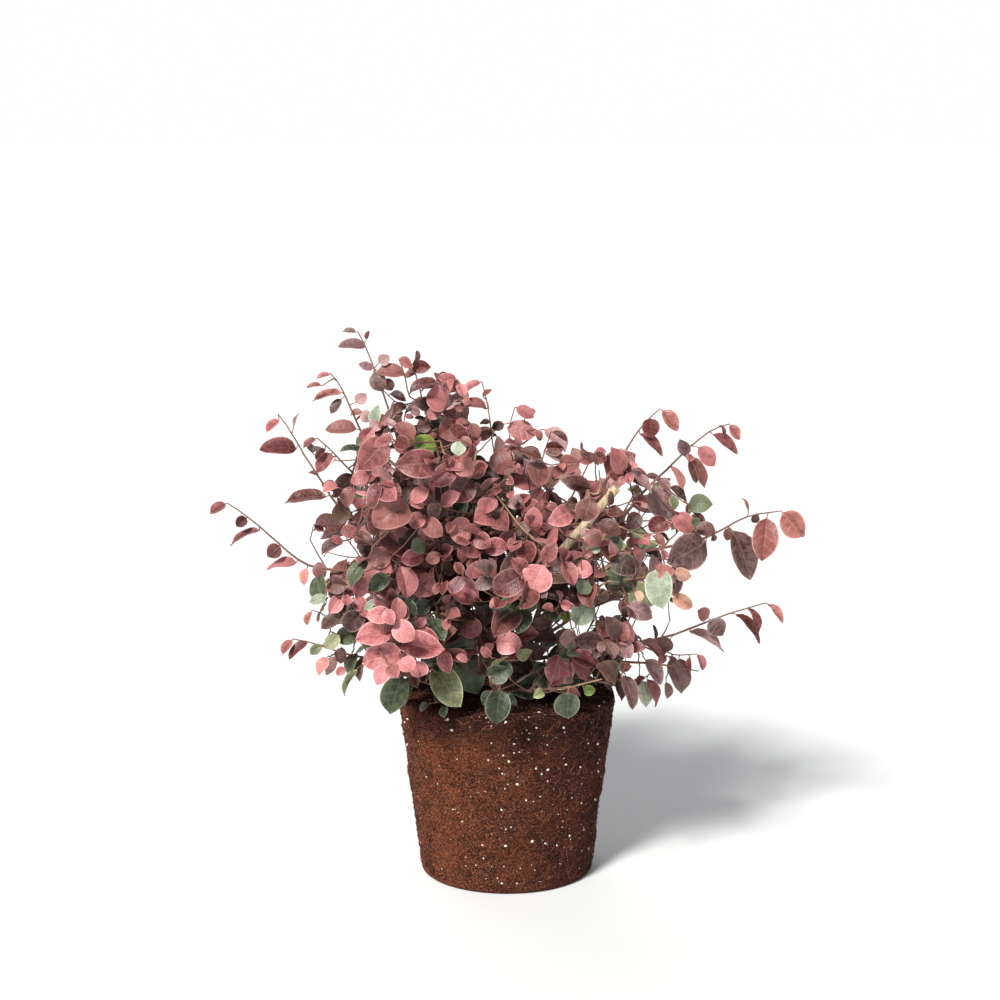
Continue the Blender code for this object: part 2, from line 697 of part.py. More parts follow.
def fuse(name, base, pieces, solver, collection):
    """The pieces joined to the base by one Boolean on a collection, or None where that fails."""
    helpers = new_collection(name + "_pieces")
    for number, (mesh, matrix) in enumerate(pieces):
        helper = bpy.data.objects.new(f"{name}_piece{number}", mesh)
        helper.matrix_world = matrix
        helpers.objects.link(helper)
    thing = bpy.data.objects.new(name, base)
    collection.objects.link(thing)
    join = thing.modifiers.new("join", "BOOLEAN")
    join.operation = "UNION"
    join.operand_type = "COLLECTION"
    join.collection = helpers
    join.solver = solver
    mesh = closed_body(applied_mesh(thing))
    for helper in list(helpers.objects):
        bpy.data.objects.remove(helper)
    bpy.data.collections.remove(helpers)
    bpy.data.objects.remove(thing)
    whole = volume(base) + sum(volume(piece) * matrix.determinant() for piece, matrix in pieces)
    return mesh if mesh and volume(mesh) > FUSED_SHARE * whole else None


def make_mass(index, shoot, curve, space, leaf, clearances, collection):
    """Grows and fuses one mass. A mass that can't be fused is tried again with fewer pieces."""
    mass = Mass(index, shoot, curve, space, leaf)
    points, radii = mass.grow()
    name = "foliage_" + shoot.name
    stem = tube(name + "_stem", points, radii, STEM_SIDES, collection)
    if not shoot.bare:
        cut_clear(stem, clearances)
    pieces = mass.pieces
    mesh = None
    while mesh is None:
        for solver in ("EXACT", "MANIFOLD"):
            mesh = mesh or fuse(name, stem.data, pieces, solver, collection)
        pieces = pieces[:-FEWER_PIECES]
    bpy.data.objects.remove(stem)
    thing = bpy.data.objects.new(name, mesh)
    collection.objects.link(thing)
    finish(thing, TINTS[shoot.tint])


def main():
    clear_scene()
    parts = new_collection(OBJECT_NAME)
    cutters = new_collection("cutters")
    curves = shoot_curves()
    root_ball(parts)
    trunk_clearance = make_trunk(parts, cutters)
    clearances = make_boughs(curves, trunk_clearance, parts, cutters)
    space = Space(curves)
    leaf = leaf_mesh()
    for index, shoot in enumerate(SHOOTS):
        make_mass(index, shoot, curves[shoot.name], space, leaf, clearances, parts)
    for cutter in cutters.objects:
        cutter.hide_render = True
        cutter.display_type = "WIRE"


main()
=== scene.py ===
"""The looks of a fringe flower shrub that stands on its bare root ball.

The stem and boughs get bark with relief. Each mass of foliage is grown again by the rule of the
solids: one stem bends out from the tip of its bough, side twigs and finer twiglets leave it, and
all carry leaves in two ranks. What the photograph shows singly of them is placed one by one. The
root ball gets its felt of fine roots and its white grit. Metres, +Z up, front towards -Y.
"""

import json
import math
from collections import namedtuple

import bpy
import mathutils
import numpy as np
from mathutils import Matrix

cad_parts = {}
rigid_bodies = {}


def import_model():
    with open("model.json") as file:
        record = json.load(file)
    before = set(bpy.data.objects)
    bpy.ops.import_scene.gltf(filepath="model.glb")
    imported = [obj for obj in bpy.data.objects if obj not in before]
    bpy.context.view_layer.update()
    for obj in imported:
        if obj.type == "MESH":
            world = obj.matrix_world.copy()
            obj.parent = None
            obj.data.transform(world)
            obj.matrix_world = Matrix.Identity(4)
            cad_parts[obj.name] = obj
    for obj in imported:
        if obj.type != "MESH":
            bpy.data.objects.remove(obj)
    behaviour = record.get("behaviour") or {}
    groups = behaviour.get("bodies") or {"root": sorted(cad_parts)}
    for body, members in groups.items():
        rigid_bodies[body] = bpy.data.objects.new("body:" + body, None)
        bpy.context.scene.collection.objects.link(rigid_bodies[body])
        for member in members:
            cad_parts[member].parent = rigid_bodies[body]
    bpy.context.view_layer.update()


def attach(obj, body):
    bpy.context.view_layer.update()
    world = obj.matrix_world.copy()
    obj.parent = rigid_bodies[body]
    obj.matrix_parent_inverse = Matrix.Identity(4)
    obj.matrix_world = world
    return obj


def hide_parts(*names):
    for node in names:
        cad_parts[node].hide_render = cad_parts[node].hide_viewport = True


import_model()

UP = np.array((0.0, 0.0, 1.0))


def unit(vectors):
    return vectors / np.linalg.norm(vectors, axis=-1, keepdims=True)


# View: the photograph's, a little above the rim
VIEW_TARGET = np.array((-0.0084, 0.0, 0.4584))
VIEW_DISTANCE = 2.6
VIEW_ELEVATION = math.radians(10)
VIEW_LENS = 78.0
SENSOR = 36.0
TOWARDS_VIEW = np.array((0.0, -math.cos(VIEW_ELEVATION), math.sin(VIEW_ELEVATION)))
VIEW_UP = np.array((0.0, math.sin(VIEW_ELEVATION), math.cos(VIEW_ELEVATION)))
VIEW_PLACE = VIEW_TARGET + VIEW_DISTANCE * TOWARDS_VIEW

# The photograph's 1000 by 1000 pixels: their middle, how many a metre takes at a distance of one
# metre, and how many metres one takes at the plant
VIEW_MIDDLE = 500
VIEW_PIXELS = 1000 * VIEW_LENS / SENSOR
PIXEL = 0.0012

# Lamps: name, direction, spread in degrees, power and colour
KEY_PLACE = (-0.50, -1.00, 0.98)
TOWARDS_KEY = unit(np.array(KEY_PLACE))
LAMPS = (
    ("key lamp", KEY_PLACE, 12.0, 4.8, (1.0, 0.995, 0.955)),
    ("fill lamp", (0.40, -1.00, 0.25), 50.0, 0.78, (0.96, 0.98, 1.0)),
    ("back lamp", (-0.30, 0.90, 0.70), 60.0, 1.10, (0.98, 0.98, 1.0)),
)
SKY_POWER = 0.20
FLOOR_RADIUS = 60
FLOOR_CORNERS = 96

# Root ball. Its lumps, strands and crumbs fade out near the flat underside
BALL_HEIGHT = 0.223
BALL_TOP_RADIUS = 0.133
BALL_BASE_RADIUS = 0.105
BALL_EDGE = 0.009
BALL_FOOT_EDGE = 0.0063
BALL_CLEARANCE = 0.003
BALL_COLUMNS = 420
BALL_ROWS = 200
OUTLINE_STEP = 0.0015
LUMPS = 0.0024
STRANDS = 0.0013
STRAND_FLATNESS = 2.6
CRUMBS = 0.0008
BALL_SUNK = 0.0012
FLAT_BELOW = 0.012

# Fine roots: the points of each, how far it goes from point to point, how steep it starts and how
# much that changes, how high it arches, and how it thins. They keep off the edge of the underside
# and the middle of the top
FIBRE_POINTS = 7
FIBRE_PACE = (0.0012, 0.0034)
FIBRE_SLOPE = 0.9
FIBRE_WANDER = 0.35
FIBRE_ARCH = 0.0011
FIBRE_CLEAR = 0.00005
FIBRE_THINNING = 0.5
BARE_FOOT = 0.004
BARE_TOP = 0.10

# Grains: how they are stretched, how far their points move, how far out they lie, and how much
# more of them are small. One white grain in three lies in a cluster on the front, a little to the
# right: the mean turn and its spread
CHIP_STRETCH = (0.6, 1.2)
CHIP_WEAR = (0.75, 1.2)
CHIP_OUT = 0.15
MOSTLY_SMALL = 2.5
GRIT_CLUSTER = (-1.25, 0.45)
GRIT_SEED = 9
CHIP_SEED = 12

# Limbs
TRUNK_HEIGHT = 0.050
TRUNK_FOOT_RADIUS = 0.021
TRUNK_WAIST_RADIUS = 0.0125
TRUNK_TIP_RADIUS = 0.0085
TRUNK_LEAN = -0.007
TRUNK_FLARE_SHARE = 0.28
TRUNK_SUNK = 0.004
BOUGH_FOOT_RADIUS = 0.0056
BOUGH_TIP_RADIUS = 0.0020
SIDE_BOUGH_SHARE = 0.72
BOUGH_OVERLAP = 0.03
SAWN_RADIUS = 0.0052
SAWN_FOOT = 0.10
SAWN_BEND = (0.074, -0.072, 0.420)
SAWN_END = (0.127, -0.080, 0.487)
LIMB_RINGS = 60
SAWN_RINGS = 50

# How many straight runs stand for a limb where leaves keep clear of it
LIMB_RUNS = 5

# Bark: how fast its noise goes along a limb, and how fine the ridges and the knots are
BARK_PACE = 60
RIDGE_SCALE = (5, 5, 0.5)
KNOT_SCALE = (1.2, 1.2, 1.6)
RIDGE_SHARE = 0.6

# Stems, twigs and twiglets. Turns are about the axis that bears them, in degrees
SPRAY_SEED = 1
STEM_TIP_RADIUS = 0.0007
LOW_STEM_RADIUS = 0.0030
TWIG_RADII = (0.0011, 0.0007)
TWIGLET_RADII = (0.0008, 0.0005)
PALE_TWIG_SHARES = (1.6, 1.2)
STEM_POINTS = 15
TWIG_POINTS = 7
STEM_SIDES = 10
TWIG_SIDES = 6
PALE_TWIG_SIDES = 8
STEM_START = 0.006
LOW_STEM_START = 0.045
TWIG_LEAF_START = 0.006
TWIG_STEP = 0.028
TWIGS_SHARE = 0.88
SLIM_BUSH = 0.080
SLIM_TWIGS_SHARE = 0.45
TWIG_SHRINK = 0.62
TWIG_SIZES = (0.75, 1.15)
TWIG_LEAST = 0.020
TWIG_ANGLE = math.radians(52)
TWIG_TURNS = (8, 172, 62, 118)
TWIG_TURN_SWAY = 24
TWIG_LIFT = 0.12
TWIG_CURVE = 0.16
TWIG_SWAY = 0.08
TWIGLET_SHARES = (0.34, 0.62)
TWIGLET_TURNS = (160, 20)
TWIGLET_REACH = (0.34, 0.52)
TWIGLET_LEAST = 0.058
ZIGZAG = 0.0007
TRIM_STEPS = 40
INNER_POINTS = 9
INNER_SHARES = (0.58, 0.72, 0.86)
INNER_TURNS = (70, 200, 330)
INNER_REACH = 0.062
INNER_LEAST_HEIGHT = 0.33

# Where leaves grow, and how they stand. A stalk's figures are shares of the leaf's length
LEAF_STEP = 0.0195
LEAF_ANGLE = math.radians(60)
LEAF_SWAY = 0.36
LEAF_SIZES = (0.66, 1.18)
LEAF_TAPER = 0.36
BLADE_SHARE = 1.10
YOUNG_START = 0.75
TIP_LEAVES = ((0.55, 0.0), (0.36, 0.8))
FACE_OUT = 0.85
FACE_UP = 0.95
FACE_TURN = 0.60
FACE_SWING = 1.0
BACK_START = 0.03
LEAF_APART = 0.34
ALIKE_FACES = 0.6
MIDRIB_SHARES = (0.2, 0.5, 0.75, 0.95)
LIMB_CLEARANCE = 0.0012
STALK_SHARE = 0.12
STALK_RADII = (0.0007, 0.0005)
STALK_SIDES = 4
STALK_RISE = 0.02
STALK_UNDER = 0.10
STALK_SUNK = 0.008

# Leaf blades, in shares of their length. The outline's peak is its greatest value before scaling.
# A lift is that at the veins and how much more there is between them. A fold and a curl are the
# mean and how far it goes either way
LEAF_ROWS = 10
LEAF_COLUMNS = np.array((-1.0, -0.5, 0.0, 0.5, 1.0))
LEAF_WIDTH = 0.68
LEAF_THICKNESS = 0.014
OUTLINE_FOOT = 0.62
OUTLINE_TIP = 1.1
OUTLINE_PEAK = 0.325
LEAST_HALF_WIDTH = 0.012
TIP_POINT = 0.2
TONE_WIDTH = 0.12
ROW_SLANT = 0.11
VEIN_LIFT = (0.035, 0.075)
EDGE_WAVE = 0.022
LEAF_FOLD = (0.36, 0.30)
LEAF_CURL = (0.75, 0.65)
LEAF_TWIST = 0.5

# A shoot is its mass of the solids: the same curve, with the leaf length, the share by which its
# leaves hang and its palette
Shoot = namedtuple(
    "Shoot", "name carrier foot azimuth reach height lean rise bare bush blade hang palette"
)
SHOOTS = tuple(Shoot(*row) for row in (
    ("top", "trunk", 1.00, 165, 0.058, 0.596, 0.45, 0.50, 0.44, 0.090, 0.042, 0.2, "wine"),
    ("front", "trunk", 0.84, 278, 0.245, 0.400, 0.50, 0.66, 0.26, 0.110, 0.047, 0.3, "wine"),
    ("back", "trunk", 0.90, 88, 0.262, 0.430, 0.50, 0.62, 0.36, 0.110, 0.047, 0.3, "deep"),
    ("left", "trunk", 0.80, 185, 0.340, 0.455, 0.51, 0.78, 0.42, 0.075, 0.040, 0.8, "wine"),
    ("right", "trunk", 0.86, 353, 0.332, 0.450, 0.55, 1.08, 0.42, 0.070, 0.051, 1.2, "salmon"),
    ("spike", "top", 0.20, 176, 0.170, 0.648, 0.82, 0.45, 0.44, 0.062, 0.032, 0.3, "tips"),
    ("arch", "spike", 0.55, 180, 0.214, 0.600, 0.45, 0.80, 0.35, 0.058, 0.030, 0.6, "tips"),
    ("crest", "top", 0.52, 200, 0.116, 0.624, 0.62, 0.50, 0.35, 0.070, 0.040, 0.3, "wine"),
    ("peak", "top", 0.60, 325, 0.026, 0.560, 0.60, 0.45, 0.25, 0.080, 0.042, 0.2, "wine"),
    ("saddle", "top", 0.35, 330, 0.112, 0.515, 0.60, 0.45, 0.30, 0.095, 0.043, 0.3, "wine"),
    ("brow", "top", 0.40, 256, 0.185, 0.535, 0.60, 0.50, 0.30, 0.095, 0.044, 0.3, "wine"),
    ("crown_back", "top", 0.45, 108, 0.165, 0.556, 0.60, 0.50, 0.34, 0.095, 0.044, 0.3, "deep"),
    ("left_upper", "left", 0.45, 174, 0.264, 0.554, 0.65, 0.45, 0.36, 0.062, 0.040, 0.5, "wine"),
    ("left_middle", "left", 0.25, 199, 0.222, 0.528, 0.42, 0.68, 0.40, 0.080, 0.041, 0.4, "wine"),
    ("right_spike", "right", 0.25, 354, 0.194, 0.558, 0.36, 0.80, 0.38, 0.065, 0.040, 0.7, "wine"),
    ("right_upper", "right", 0.50, 4, 0.270, 0.540, 0.42, 0.70, 0.32, 0.065, 0.039, 0.8, "salmon"),
    ("front_left", "front", 0.40, 230, 0.262, 0.455, 0.50, 0.55, 0.26, 0.105, 0.047, 0.3, "wine"),
    ("front_right", "front", 0.60, 310, 0.255, 0.410, 0.50, 0.60, 0.26, 0.105, 0.044, 0.3, "mixed"),
    ("breast", "top", 0.25, 292, 0.200, 0.485, 0.60, 0.50, 0.32, 0.100, 0.044, 0.3, "wine"),
    ("back_left", "back", 0.30, 137, 0.274, 0.465, 0.50, 0.55, 0.36, 0.105, 0.047, 0.3, "deep"),
    ("back_right", "back", 0.45, 45, 0.274, 0.440, 0.50, 0.60, 0.32, 0.105, 0.047, 0.3, "deep"),
    ("left_low", "trunk", 0.40, 186, 0.258, 0.300, 0.60, 1.40, 0.0, 0.095, 0.040, 0.5, "mixed"),
    ("left_foot", "trunk", 0.30, 210, 0.210, 0.245, 0.55, 1.80, 0.0, 0.090, 0.042, 0.5, "low"),
    ("rose", "trunk", 0.66, 234, 0.245, 0.325, 0.45, 1.05, 0.0, 0.095, 0.047, 0.3, "rose"),
    ("rim", "trunk", 0.45, 256, 0.185, 0.240, 0.55, 1.60, 0.0, 0.085, 0.044, 0.6, "low"),
    ("front_low", "trunk", 0.34, 286, 0.185, 0.242, 0.55, 1.70, 0.0, 0.085, 0.044, 0.6, "low"),
    ("front_foot", "trunk", 0.52, 314, 0.225, 0.262, 0.55, 1.50, 0.0, 0.095, 0.042, 0.5, "mixed"),
    ("right_foot", "trunk", 0.36, 340, 0.240, 0.268, 0.55, 1.60, 0.0, 0.095, 0.041, 0.5, "mixed"),
    ("right_low", "trunk", 0.66, 2, 0.314, 0.325, 0.50, 0.95, 0.0, 0.100, 0.039, 0.8, "mixed"),
    ("back_foot_left", "trunk", 0.48, 140, 0.264, 0.295, 0.55, 1.4, 0.0, 0.105, 0.044, 0.4, "deep"),
    ("back_foot", "trunk", 0.34, 92, 0.250, 0.285, 0.55, 1.50, 0.0, 0.105, 0.044, 0.4, "deep"),
    ("back_foot_right", "trunk", 0.50, 46, 0.264, 0.300, 0.55, 1.4, 0.0, 0.105, 0.044, 0.4, "deep"),
))

# Stems as the photograph shows them, by points in its 1000 by 1000 pixels, from the bough out
SEEN_STEMS = {
    "left": (
        (302, 567), (296, 558), (285, 549), (279, 544), (266, 532), (259, 526), (250, 518),
        (244, 513), (227, 503),
    ),
    "left_upper": (
        (338, 508), (331, 497), (324, 485), (317, 473), (310, 465), (305, 456), (297, 444),
        (292, 431), (287, 425), (278, 414),
    ),
    "left_middle": ((352, 472), (343, 464), (333, 452), (328, 446), (322, 440), (317, 438)),
    "spike": ((384, 393), (378, 384), (374, 366), (371, 360), (367, 349), (364, 339), (358, 332)),
    "arch": (
        (364, 440), (359, 427), (352, 411), (346, 398), (344, 393), (340, 383), (336, 377),
        (330, 373),
    ),
    "right_spike": ((618, 465), (627, 448), (636, 433), (641, 427), (650, 416), (660, 409)),
    "right_upper": (
        (651, 482), (666, 472), (673, 463), (682, 454), (690, 446), (696, 442), (708, 432),
        (720, 423), (729, 424),
    ),
    "right": (
        (704, 540), (719, 531), (728, 527), (738, 520), (747, 515), (752, 511), (761, 515),
        (780, 511),
    ),
    "right_low": (
        (670, 638), (684, 631), (700, 625), (715, 618), (730, 612), (745, 609), (765, 603),
    ),
    "left_low": ((340, 655), (330, 647), (318, 644), (310, 641), (299, 638), (293, 639)),
    "left_foot": ((450, 692), (430, 684), (412, 678), (394, 671)),
    "rim": ((498, 692), (492, 686), (488, 682), (500, 686)),
    "front_low": ((520, 692), (540, 690), (556, 688), (569, 688)),
}

# More twigs seen: the shoot that each grows on, its finish and its points
SEEN_TWIGS = (
    ("crest", "young", ((408, 405), (407, 387), (406, 374), (399, 360))),
    ("crest", "young", ((402, 408), (389, 397), (384, 391))),
    ("arch", "young", ((335, 377), (322, 386))),
    ("peak", "young", ((492, 471), (493, 441), (490, 418), (488, 400), (482, 382))),
    ("peak", "young", ((508, 445), (509, 425), (515, 407))),
    ("saddle", "young", ((536, 486), (537, 468), (541, 460), (546, 450), (551, 432))),
    ("breast", "young", ((529, 526), (530, 506), (534, 497), (542, 495), (556, 505))),
    ("right_low", "young", ((668, 657), (676, 655), (689, 655), (696, 654))),
    ("left_low", "young", ((335, 625), (329, 617), (320, 610), (312, 610))),
    ("breast", "pale", ((523, 533), (513, 517), (505, 506), (497, 496))),
    ("brow", "pale", ((446, 462), (443, 450), (440, 441))),
    ("brow", "pale", ((473, 475), (474, 462), (477, 450))),
    ("saddle", "pale", ((601, 500), (601, 488), (599, 470))),
    ("front_right", "pale", ((593, 579), (612, 581), (640, 579), (663, 574))),
    ("right", "pale", ((592, 514), (604, 516), (621, 526), (638, 537), (662, 546))),
    ("front_low", "pale", ((548, 691), (568, 688), (585, 683), (602, 679))),
)

# Leaves as the photograph shows them: foot, tip and width in its pixels, and tint, by shoot
SEEN_LEAVES = {
    "left": (
        (227, 503, 211, 514, 10, "burgundy"), (247, 517, 237, 526, 11, "wine"),
        (262, 529, 232, 545, 8, "burgundy"), (281, 545, 268, 556, 14, "wine"),
        (299, 562, 268, 570, 9, "burgundy"), (307, 567, 304, 584, 7, "salmon"),
        (317, 561, 323, 579, 12, "wine"),
    ),
    "left_upper": (
        (280, 419, 267, 432, 9, "rose"), (299, 449, 261, 450, 17, "burgundy"),
        (329, 496, 287, 503, 13, "wine"), (293, 428, 299, 414, 4, "blush"),
        (319, 474, 309, 473, 4, "plum"),
    ),
    "left_middle": (
        (317, 438, 304, 448, 7, "burgundy"), (326, 448, 316, 459, 7, "wine"),
        (333, 452, 318, 472, 13, "burgundy"), (364, 452, 340, 452, 8, "green"),
        (355, 473, 336, 497, 15, "plum"), (371, 477, 351, 482, 12, "burgundy"),
        (354, 485, 347, 508, 11, "wine"), (389, 437, 360, 468, 25, "burgundy"),
    ),
    "spike": (
        (357, 332, 343, 332, 6, "blush"), (367, 347, 339, 347, 11, "blush"),
        (366, 340, 369, 331, 4, "wine"), (374, 369, 359, 364, 8, "blush"),
        (378, 363, 389, 356, 9, "blush"), (375, 371, 405, 376, 12, "wine"),
        (373, 371, 383, 391, 14, "umber"), (379, 386, 387, 379, 9, "wine"),
        (384, 379, 392, 390, 9, "plum"),
    ),
    "arch": (
        (331, 374, 317, 379, 6, "rose"), (322, 385, 307, 388, 5, "salmon"),
        (344, 392, 314, 401, 9, "salmon"), (342, 398, 331, 413, 8, "umber"),
        (355, 403, 366, 394, 9, "blush"), (359, 429, 327, 430, 10, "wine"),
        (373, 427, 378, 406, 10, "pale"), (360, 412, 372, 420, 10, "blush"),
        (380, 422, 371, 430, 10, "blush"), (386, 416, 396, 410, 6, "blush"),
    ),
    "crest": (
        (399, 357, 412, 367, 9, "salmon"), (411, 367, 430, 367, 13, "burgundy"),
        (440, 382, 410, 394, 11, "wine"), (389, 393, 406, 401, 7, "plum"),
        (458, 380, 438, 378, 9, "rose"), (458, 389, 448, 378, 9, "rose"),
        (449, 404, 427, 396, 21, "burgundy"), (436, 405, 416, 402, 12, "plum"),
        (458, 383, 463, 397, 8, "rose"), (452, 378, 449, 391, 7, "rose"),
        (464, 396, 448, 401, 10, "blush"), (463, 398, 470, 404, 6, "salmon"),
        (456, 403, 440, 410, 8, "blush"), (443, 408, 455, 418, 12, "burgundy"),
        (440, 409, 428, 418, 10, "burgundy"), (462, 421, 440, 435, 20, "wine"),
        (452, 424, 466, 444, 14, "burgundy"), (457, 417, 465, 428, 8, "burgundy"),
        (470, 422, 477, 438, 9, "wine"), (480, 433, 470, 446, 10, "burgundy"),
        (432, 424, 418, 429, 10, "umber"), (430, 430, 436, 438, 8, "wine"),
        (426, 421, 414, 418, 4, "plum"), (408, 406, 391, 412, 8, "umber"),
        (402, 410, 398, 422, 6, "plum"), (396, 411, 384, 417, 8, "blush"),
        (410, 408, 420, 414, 8, "blush"), (382, 421, 398, 428, 5, "blush"),
    ),
    "peak": (
        (482, 381, 463, 394, 9, "rose"), (482, 397, 492, 390, 5, "salmon"),
        (489, 409, 460, 407, 7, "wine"), (496, 448, 510, 474, 20, "wine"),
        (505, 427, 535, 434, 16, "burgundy"), (515, 407, 533, 417, 10, "burgundy"),
        (505, 424, 492, 428, 9, "plum"), (491, 421, 480, 424, 5, "plum"),
        (492, 430, 480, 440, 9, "wine"), (536, 429, 540, 441, 6, "burgundy"),
        (510, 447, 527, 464, 14, "plum"),
    ),
    "brow": (
        (438, 463, 396, 466, 25, "burgundy"), (394, 440, 409, 446, 17, "burgundy"),
        (456, 466, 430, 483, 18, "burgundy"), (455, 460, 473, 472, 16, "burgundy"),
        (471, 476, 455, 501, 27, "wine"), (491, 497, 484, 513, 14, "burgundy"),
        (438, 449, 412, 441, 13, "lime"), (458, 440, 459, 455, 16, "pale"),
        (447, 453, 447, 465, 8, "burgundy"),
    ),
    "saddle": (
        (545, 448, 563, 448, 13, "wine"), (551, 431, 567, 442, 6, "wine"),
        (542, 451, 566, 463, 8, "blush"), (558, 464, 580, 462, 14, "wine"),
        (581, 453, 598, 466, 6, "plum"), (592, 455, 606, 460, 12, "burgundy"),
        (593, 489, 564, 480, 14, "wine"), (519, 449, 541, 458, 8, "wine"),
        (568, 498, 577, 503, 7, "plum"), (612, 492, 611, 505, 6, "plum"),
        (570, 509, 575, 518, 9, "rose"),
    ),
    "right_spike": (
        (661, 409, 677, 430, 12, "salmon"), (650, 417, 651, 437, 17, "burgundy"),
        (638, 432, 661, 455, 8, "burgundy"), (604, 476, 634, 455, 27, "burgundy"),
        (624, 476, 612, 449, 14, "burgundy"), (630, 473, 650, 492, 8, "blush"),
    ),
    "right_upper": (
        (729, 424, 739, 439, 9, "salmon"), (720, 424, 724, 437, 4, "burgundy"),
        (711, 433, 736, 453, 9, "burgundy"), (688, 456, 680, 440, 11, "blush"),
        (697, 446, 714, 465, 12, "burgundy"), (691, 455, 704, 486, 9, "wine"),
        (688, 459, 696, 482, 8, "wine"), (670, 465, 683, 489, 6, "salmon"),
        (649, 488, 671, 514, 24, "blush"), (672, 494, 675, 509, 9, "olive"),
        (675, 512, 690, 533, 15, "burgundy"), (667, 519, 650, 531, 20, "burgundy"),
        (687, 504, 713, 504, 14, "green"), (661, 478, 668, 492, 10, "blush"),
        (640, 512, 628, 528, 14, "plum"), (651, 535, 642, 541, 7, "burgundy"),
    ),
    "right": (
        (781, 511, 803, 535, 22, "salmon"), (767, 515, 762, 559, 25, "salmon"),
        (731, 527, 749, 577, 22, "umber"), (709, 540, 669, 562, 32, "umber"),
        (717, 531, 694, 530, 12, "plum"), (729, 527, 727, 540, 8, "plum"),
        (749, 514, 741, 498, 4, "salmon"), (759, 515, 752, 522, 8, "umber"),
        (693, 517, 697, 526, 8, "green"), (673, 571, 691, 577, 11, "peach"),
        (672, 595, 692, 607, 13, "peach"),
    ),
    "right_low": (
        (767, 603, 782, 622, 6, "salmon"), (747, 606, 758, 632, 8, "burgundy"),
        (734, 612, 758, 642, 6, "wine"), (710, 618, 722, 635, 19, "umber"),
        (709, 618, 698, 611, 12, "wine"), (687, 630, 722, 651, 9, "blush"),
        (671, 638, 660, 650, 14, "plum"), (656, 640, 653, 625, 4, "umber"),
        (641, 639, 662, 661, 10, "wine"), (669, 657, 681, 693, 18, "umber"),
        (644, 658, 660, 684, 12, "blush"), (666, 681, 667, 699, 7, "umber"),
        (646, 677, 655, 706, 11, "salmon"), (640, 678, 646, 706, 12, "pale"),
        (678, 657, 688, 676, 4, "burgundy"), (690, 655, 690, 676, 5, "burgundy"),
        (697, 654, 703, 670, 6, "burgundy"),
    ),
    "left_low": (
        (293, 639, 283, 654, 9, "salmon"), (309, 641, 290, 659, 9, "burgundy"),
        (322, 644, 311, 654, 9, "olive"), (328, 656, 319, 675, 10, "salmon"),
        (336, 655, 327, 674, 10, "umber"), (345, 667, 337, 675, 8, "rose"),
        (312, 611, 307, 625, 6, "salmon"), (320, 611, 318, 622, 3, "umber"),
        (344, 616, 322, 628, 12, "umber"), (328, 597, 310, 602, 9, "pale"),
        (342, 595, 329, 612, 12, "rose"), (348, 594, 346, 605, 11, "rose"),
        (354, 597, 365, 610, 13, "rose"), (362, 612, 347, 630, 24, "umber"),
        (340, 634, 326, 648, 11, "olive"), (357, 632, 337, 640, 16, "green"),
        (342, 646, 341, 663, 9, "plum"), (358, 652, 352, 678, 9, "green"),
        (366, 655, 360, 682, 8, "umber"), (358, 668, 345, 695, 8, "olive"),
        (381, 601, 365, 609, 9, "pale"), (328, 583, 347, 585, 13, "plum"),
    ),
    "rose": (
        (396, 643, 442, 649, 22, "rose"), (416, 627, 438, 645, 16, "rose"),
        (393, 622, 414, 639, 17, "rose"), (394, 631, 357, 640, 20, "rose"),
        (404, 650, 363, 663, 24, "rose"), (394, 615, 367, 616, 13, "rose"),
        (385, 608, 393, 624, 11, "rose"), (401, 657, 411, 671, 15, "rose"),
        (416, 660, 421, 676, 17, "rose"), (388, 663, 378, 684, 13, "rose"),
        (441, 648, 449, 672, 14, "rose"),
    ),
    "left_foot": (
        (402, 672, 391, 712, 24, "green"), (416, 674, 404, 705, 12, "olive"),
        (433, 667, 460, 706, 25, "olive"), (462, 650, 478, 692, 28, "green"),
    ),
    "rim": (
        (487, 677, 508, 668, 18, "green"), (500, 687, 496, 722, 24, "green"),
        (503, 690, 512, 714, 12, "green"), (492, 690, 483, 704, 12, "green"),
        (546, 683, 513, 692, 22, "green"), (541, 678, 510, 660, 12, "plum"),
        (508, 672, 480, 678, 20, "plum"),
    ),
    "front_low": (
        (568, 690, 568, 717, 30, "green"), (583, 690, 595, 690, 11, "lime"),
        (524, 650, 544, 652, 14, "plum"),
    ),
    "front_foot": (
        (559, 652, 558, 685, 27, "rose"), (569, 653, 598, 668, 16, "rose"),
        (572, 653, 585, 680, 12, "burgundy"), (610, 630, 596, 630, 14, "burgundy"),
        (617, 640, 606, 617, 12, "plum"), (616, 640, 626, 623, 14, "wine"),
        (617, 640, 630, 657, 15, "blush"), (613, 672, 621, 700, 12, "plum"),
        (622, 673, 632, 708, 12, "umber"), (560, 638, 530, 640, 12, "plum"),
        (552, 622, 533, 625, 10, "umber"),
    ),
    "front_right": (
        (625, 604, 652, 618, 18, "blush"), (590, 598, 576, 624, 20, "pale"),
        (656, 567, 663, 608, 24, "pale"), (574, 566, 592, 572, 14, "rose"),
        (562, 561, 574, 584, 12, "burgundy"), (610, 556, 634, 572, 22, "plum"),
        (601, 573, 622, 580, 9, "green"), (606, 582, 637, 593, 14, "green"),
        (588, 580, 579, 593, 13, "green"), (636, 590, 641, 602, 6, "peach"),
        (640, 585, 632, 580, 6, "plum"), (604, 640, 576, 640, 16, "plum"),
        (578, 637, 560, 640, 14, "umber"), (560, 603, 572, 606, 9, "rose"),
        (560, 613, 571, 618, 9, "lime"), (600, 546, 590, 550, 13, "pale"),
        (596, 523, 620, 533, 12, "plum"), (586, 530, 600, 545, 14, "wine"),
    ),
    "front_left": (
        (409, 503, 374, 527, 26, "wine"), (389, 564, 365, 582, 14, "burgundy"),
        (425, 553, 402, 561, 16, "rose"), (393, 555, 368, 560, 17, "wine"),
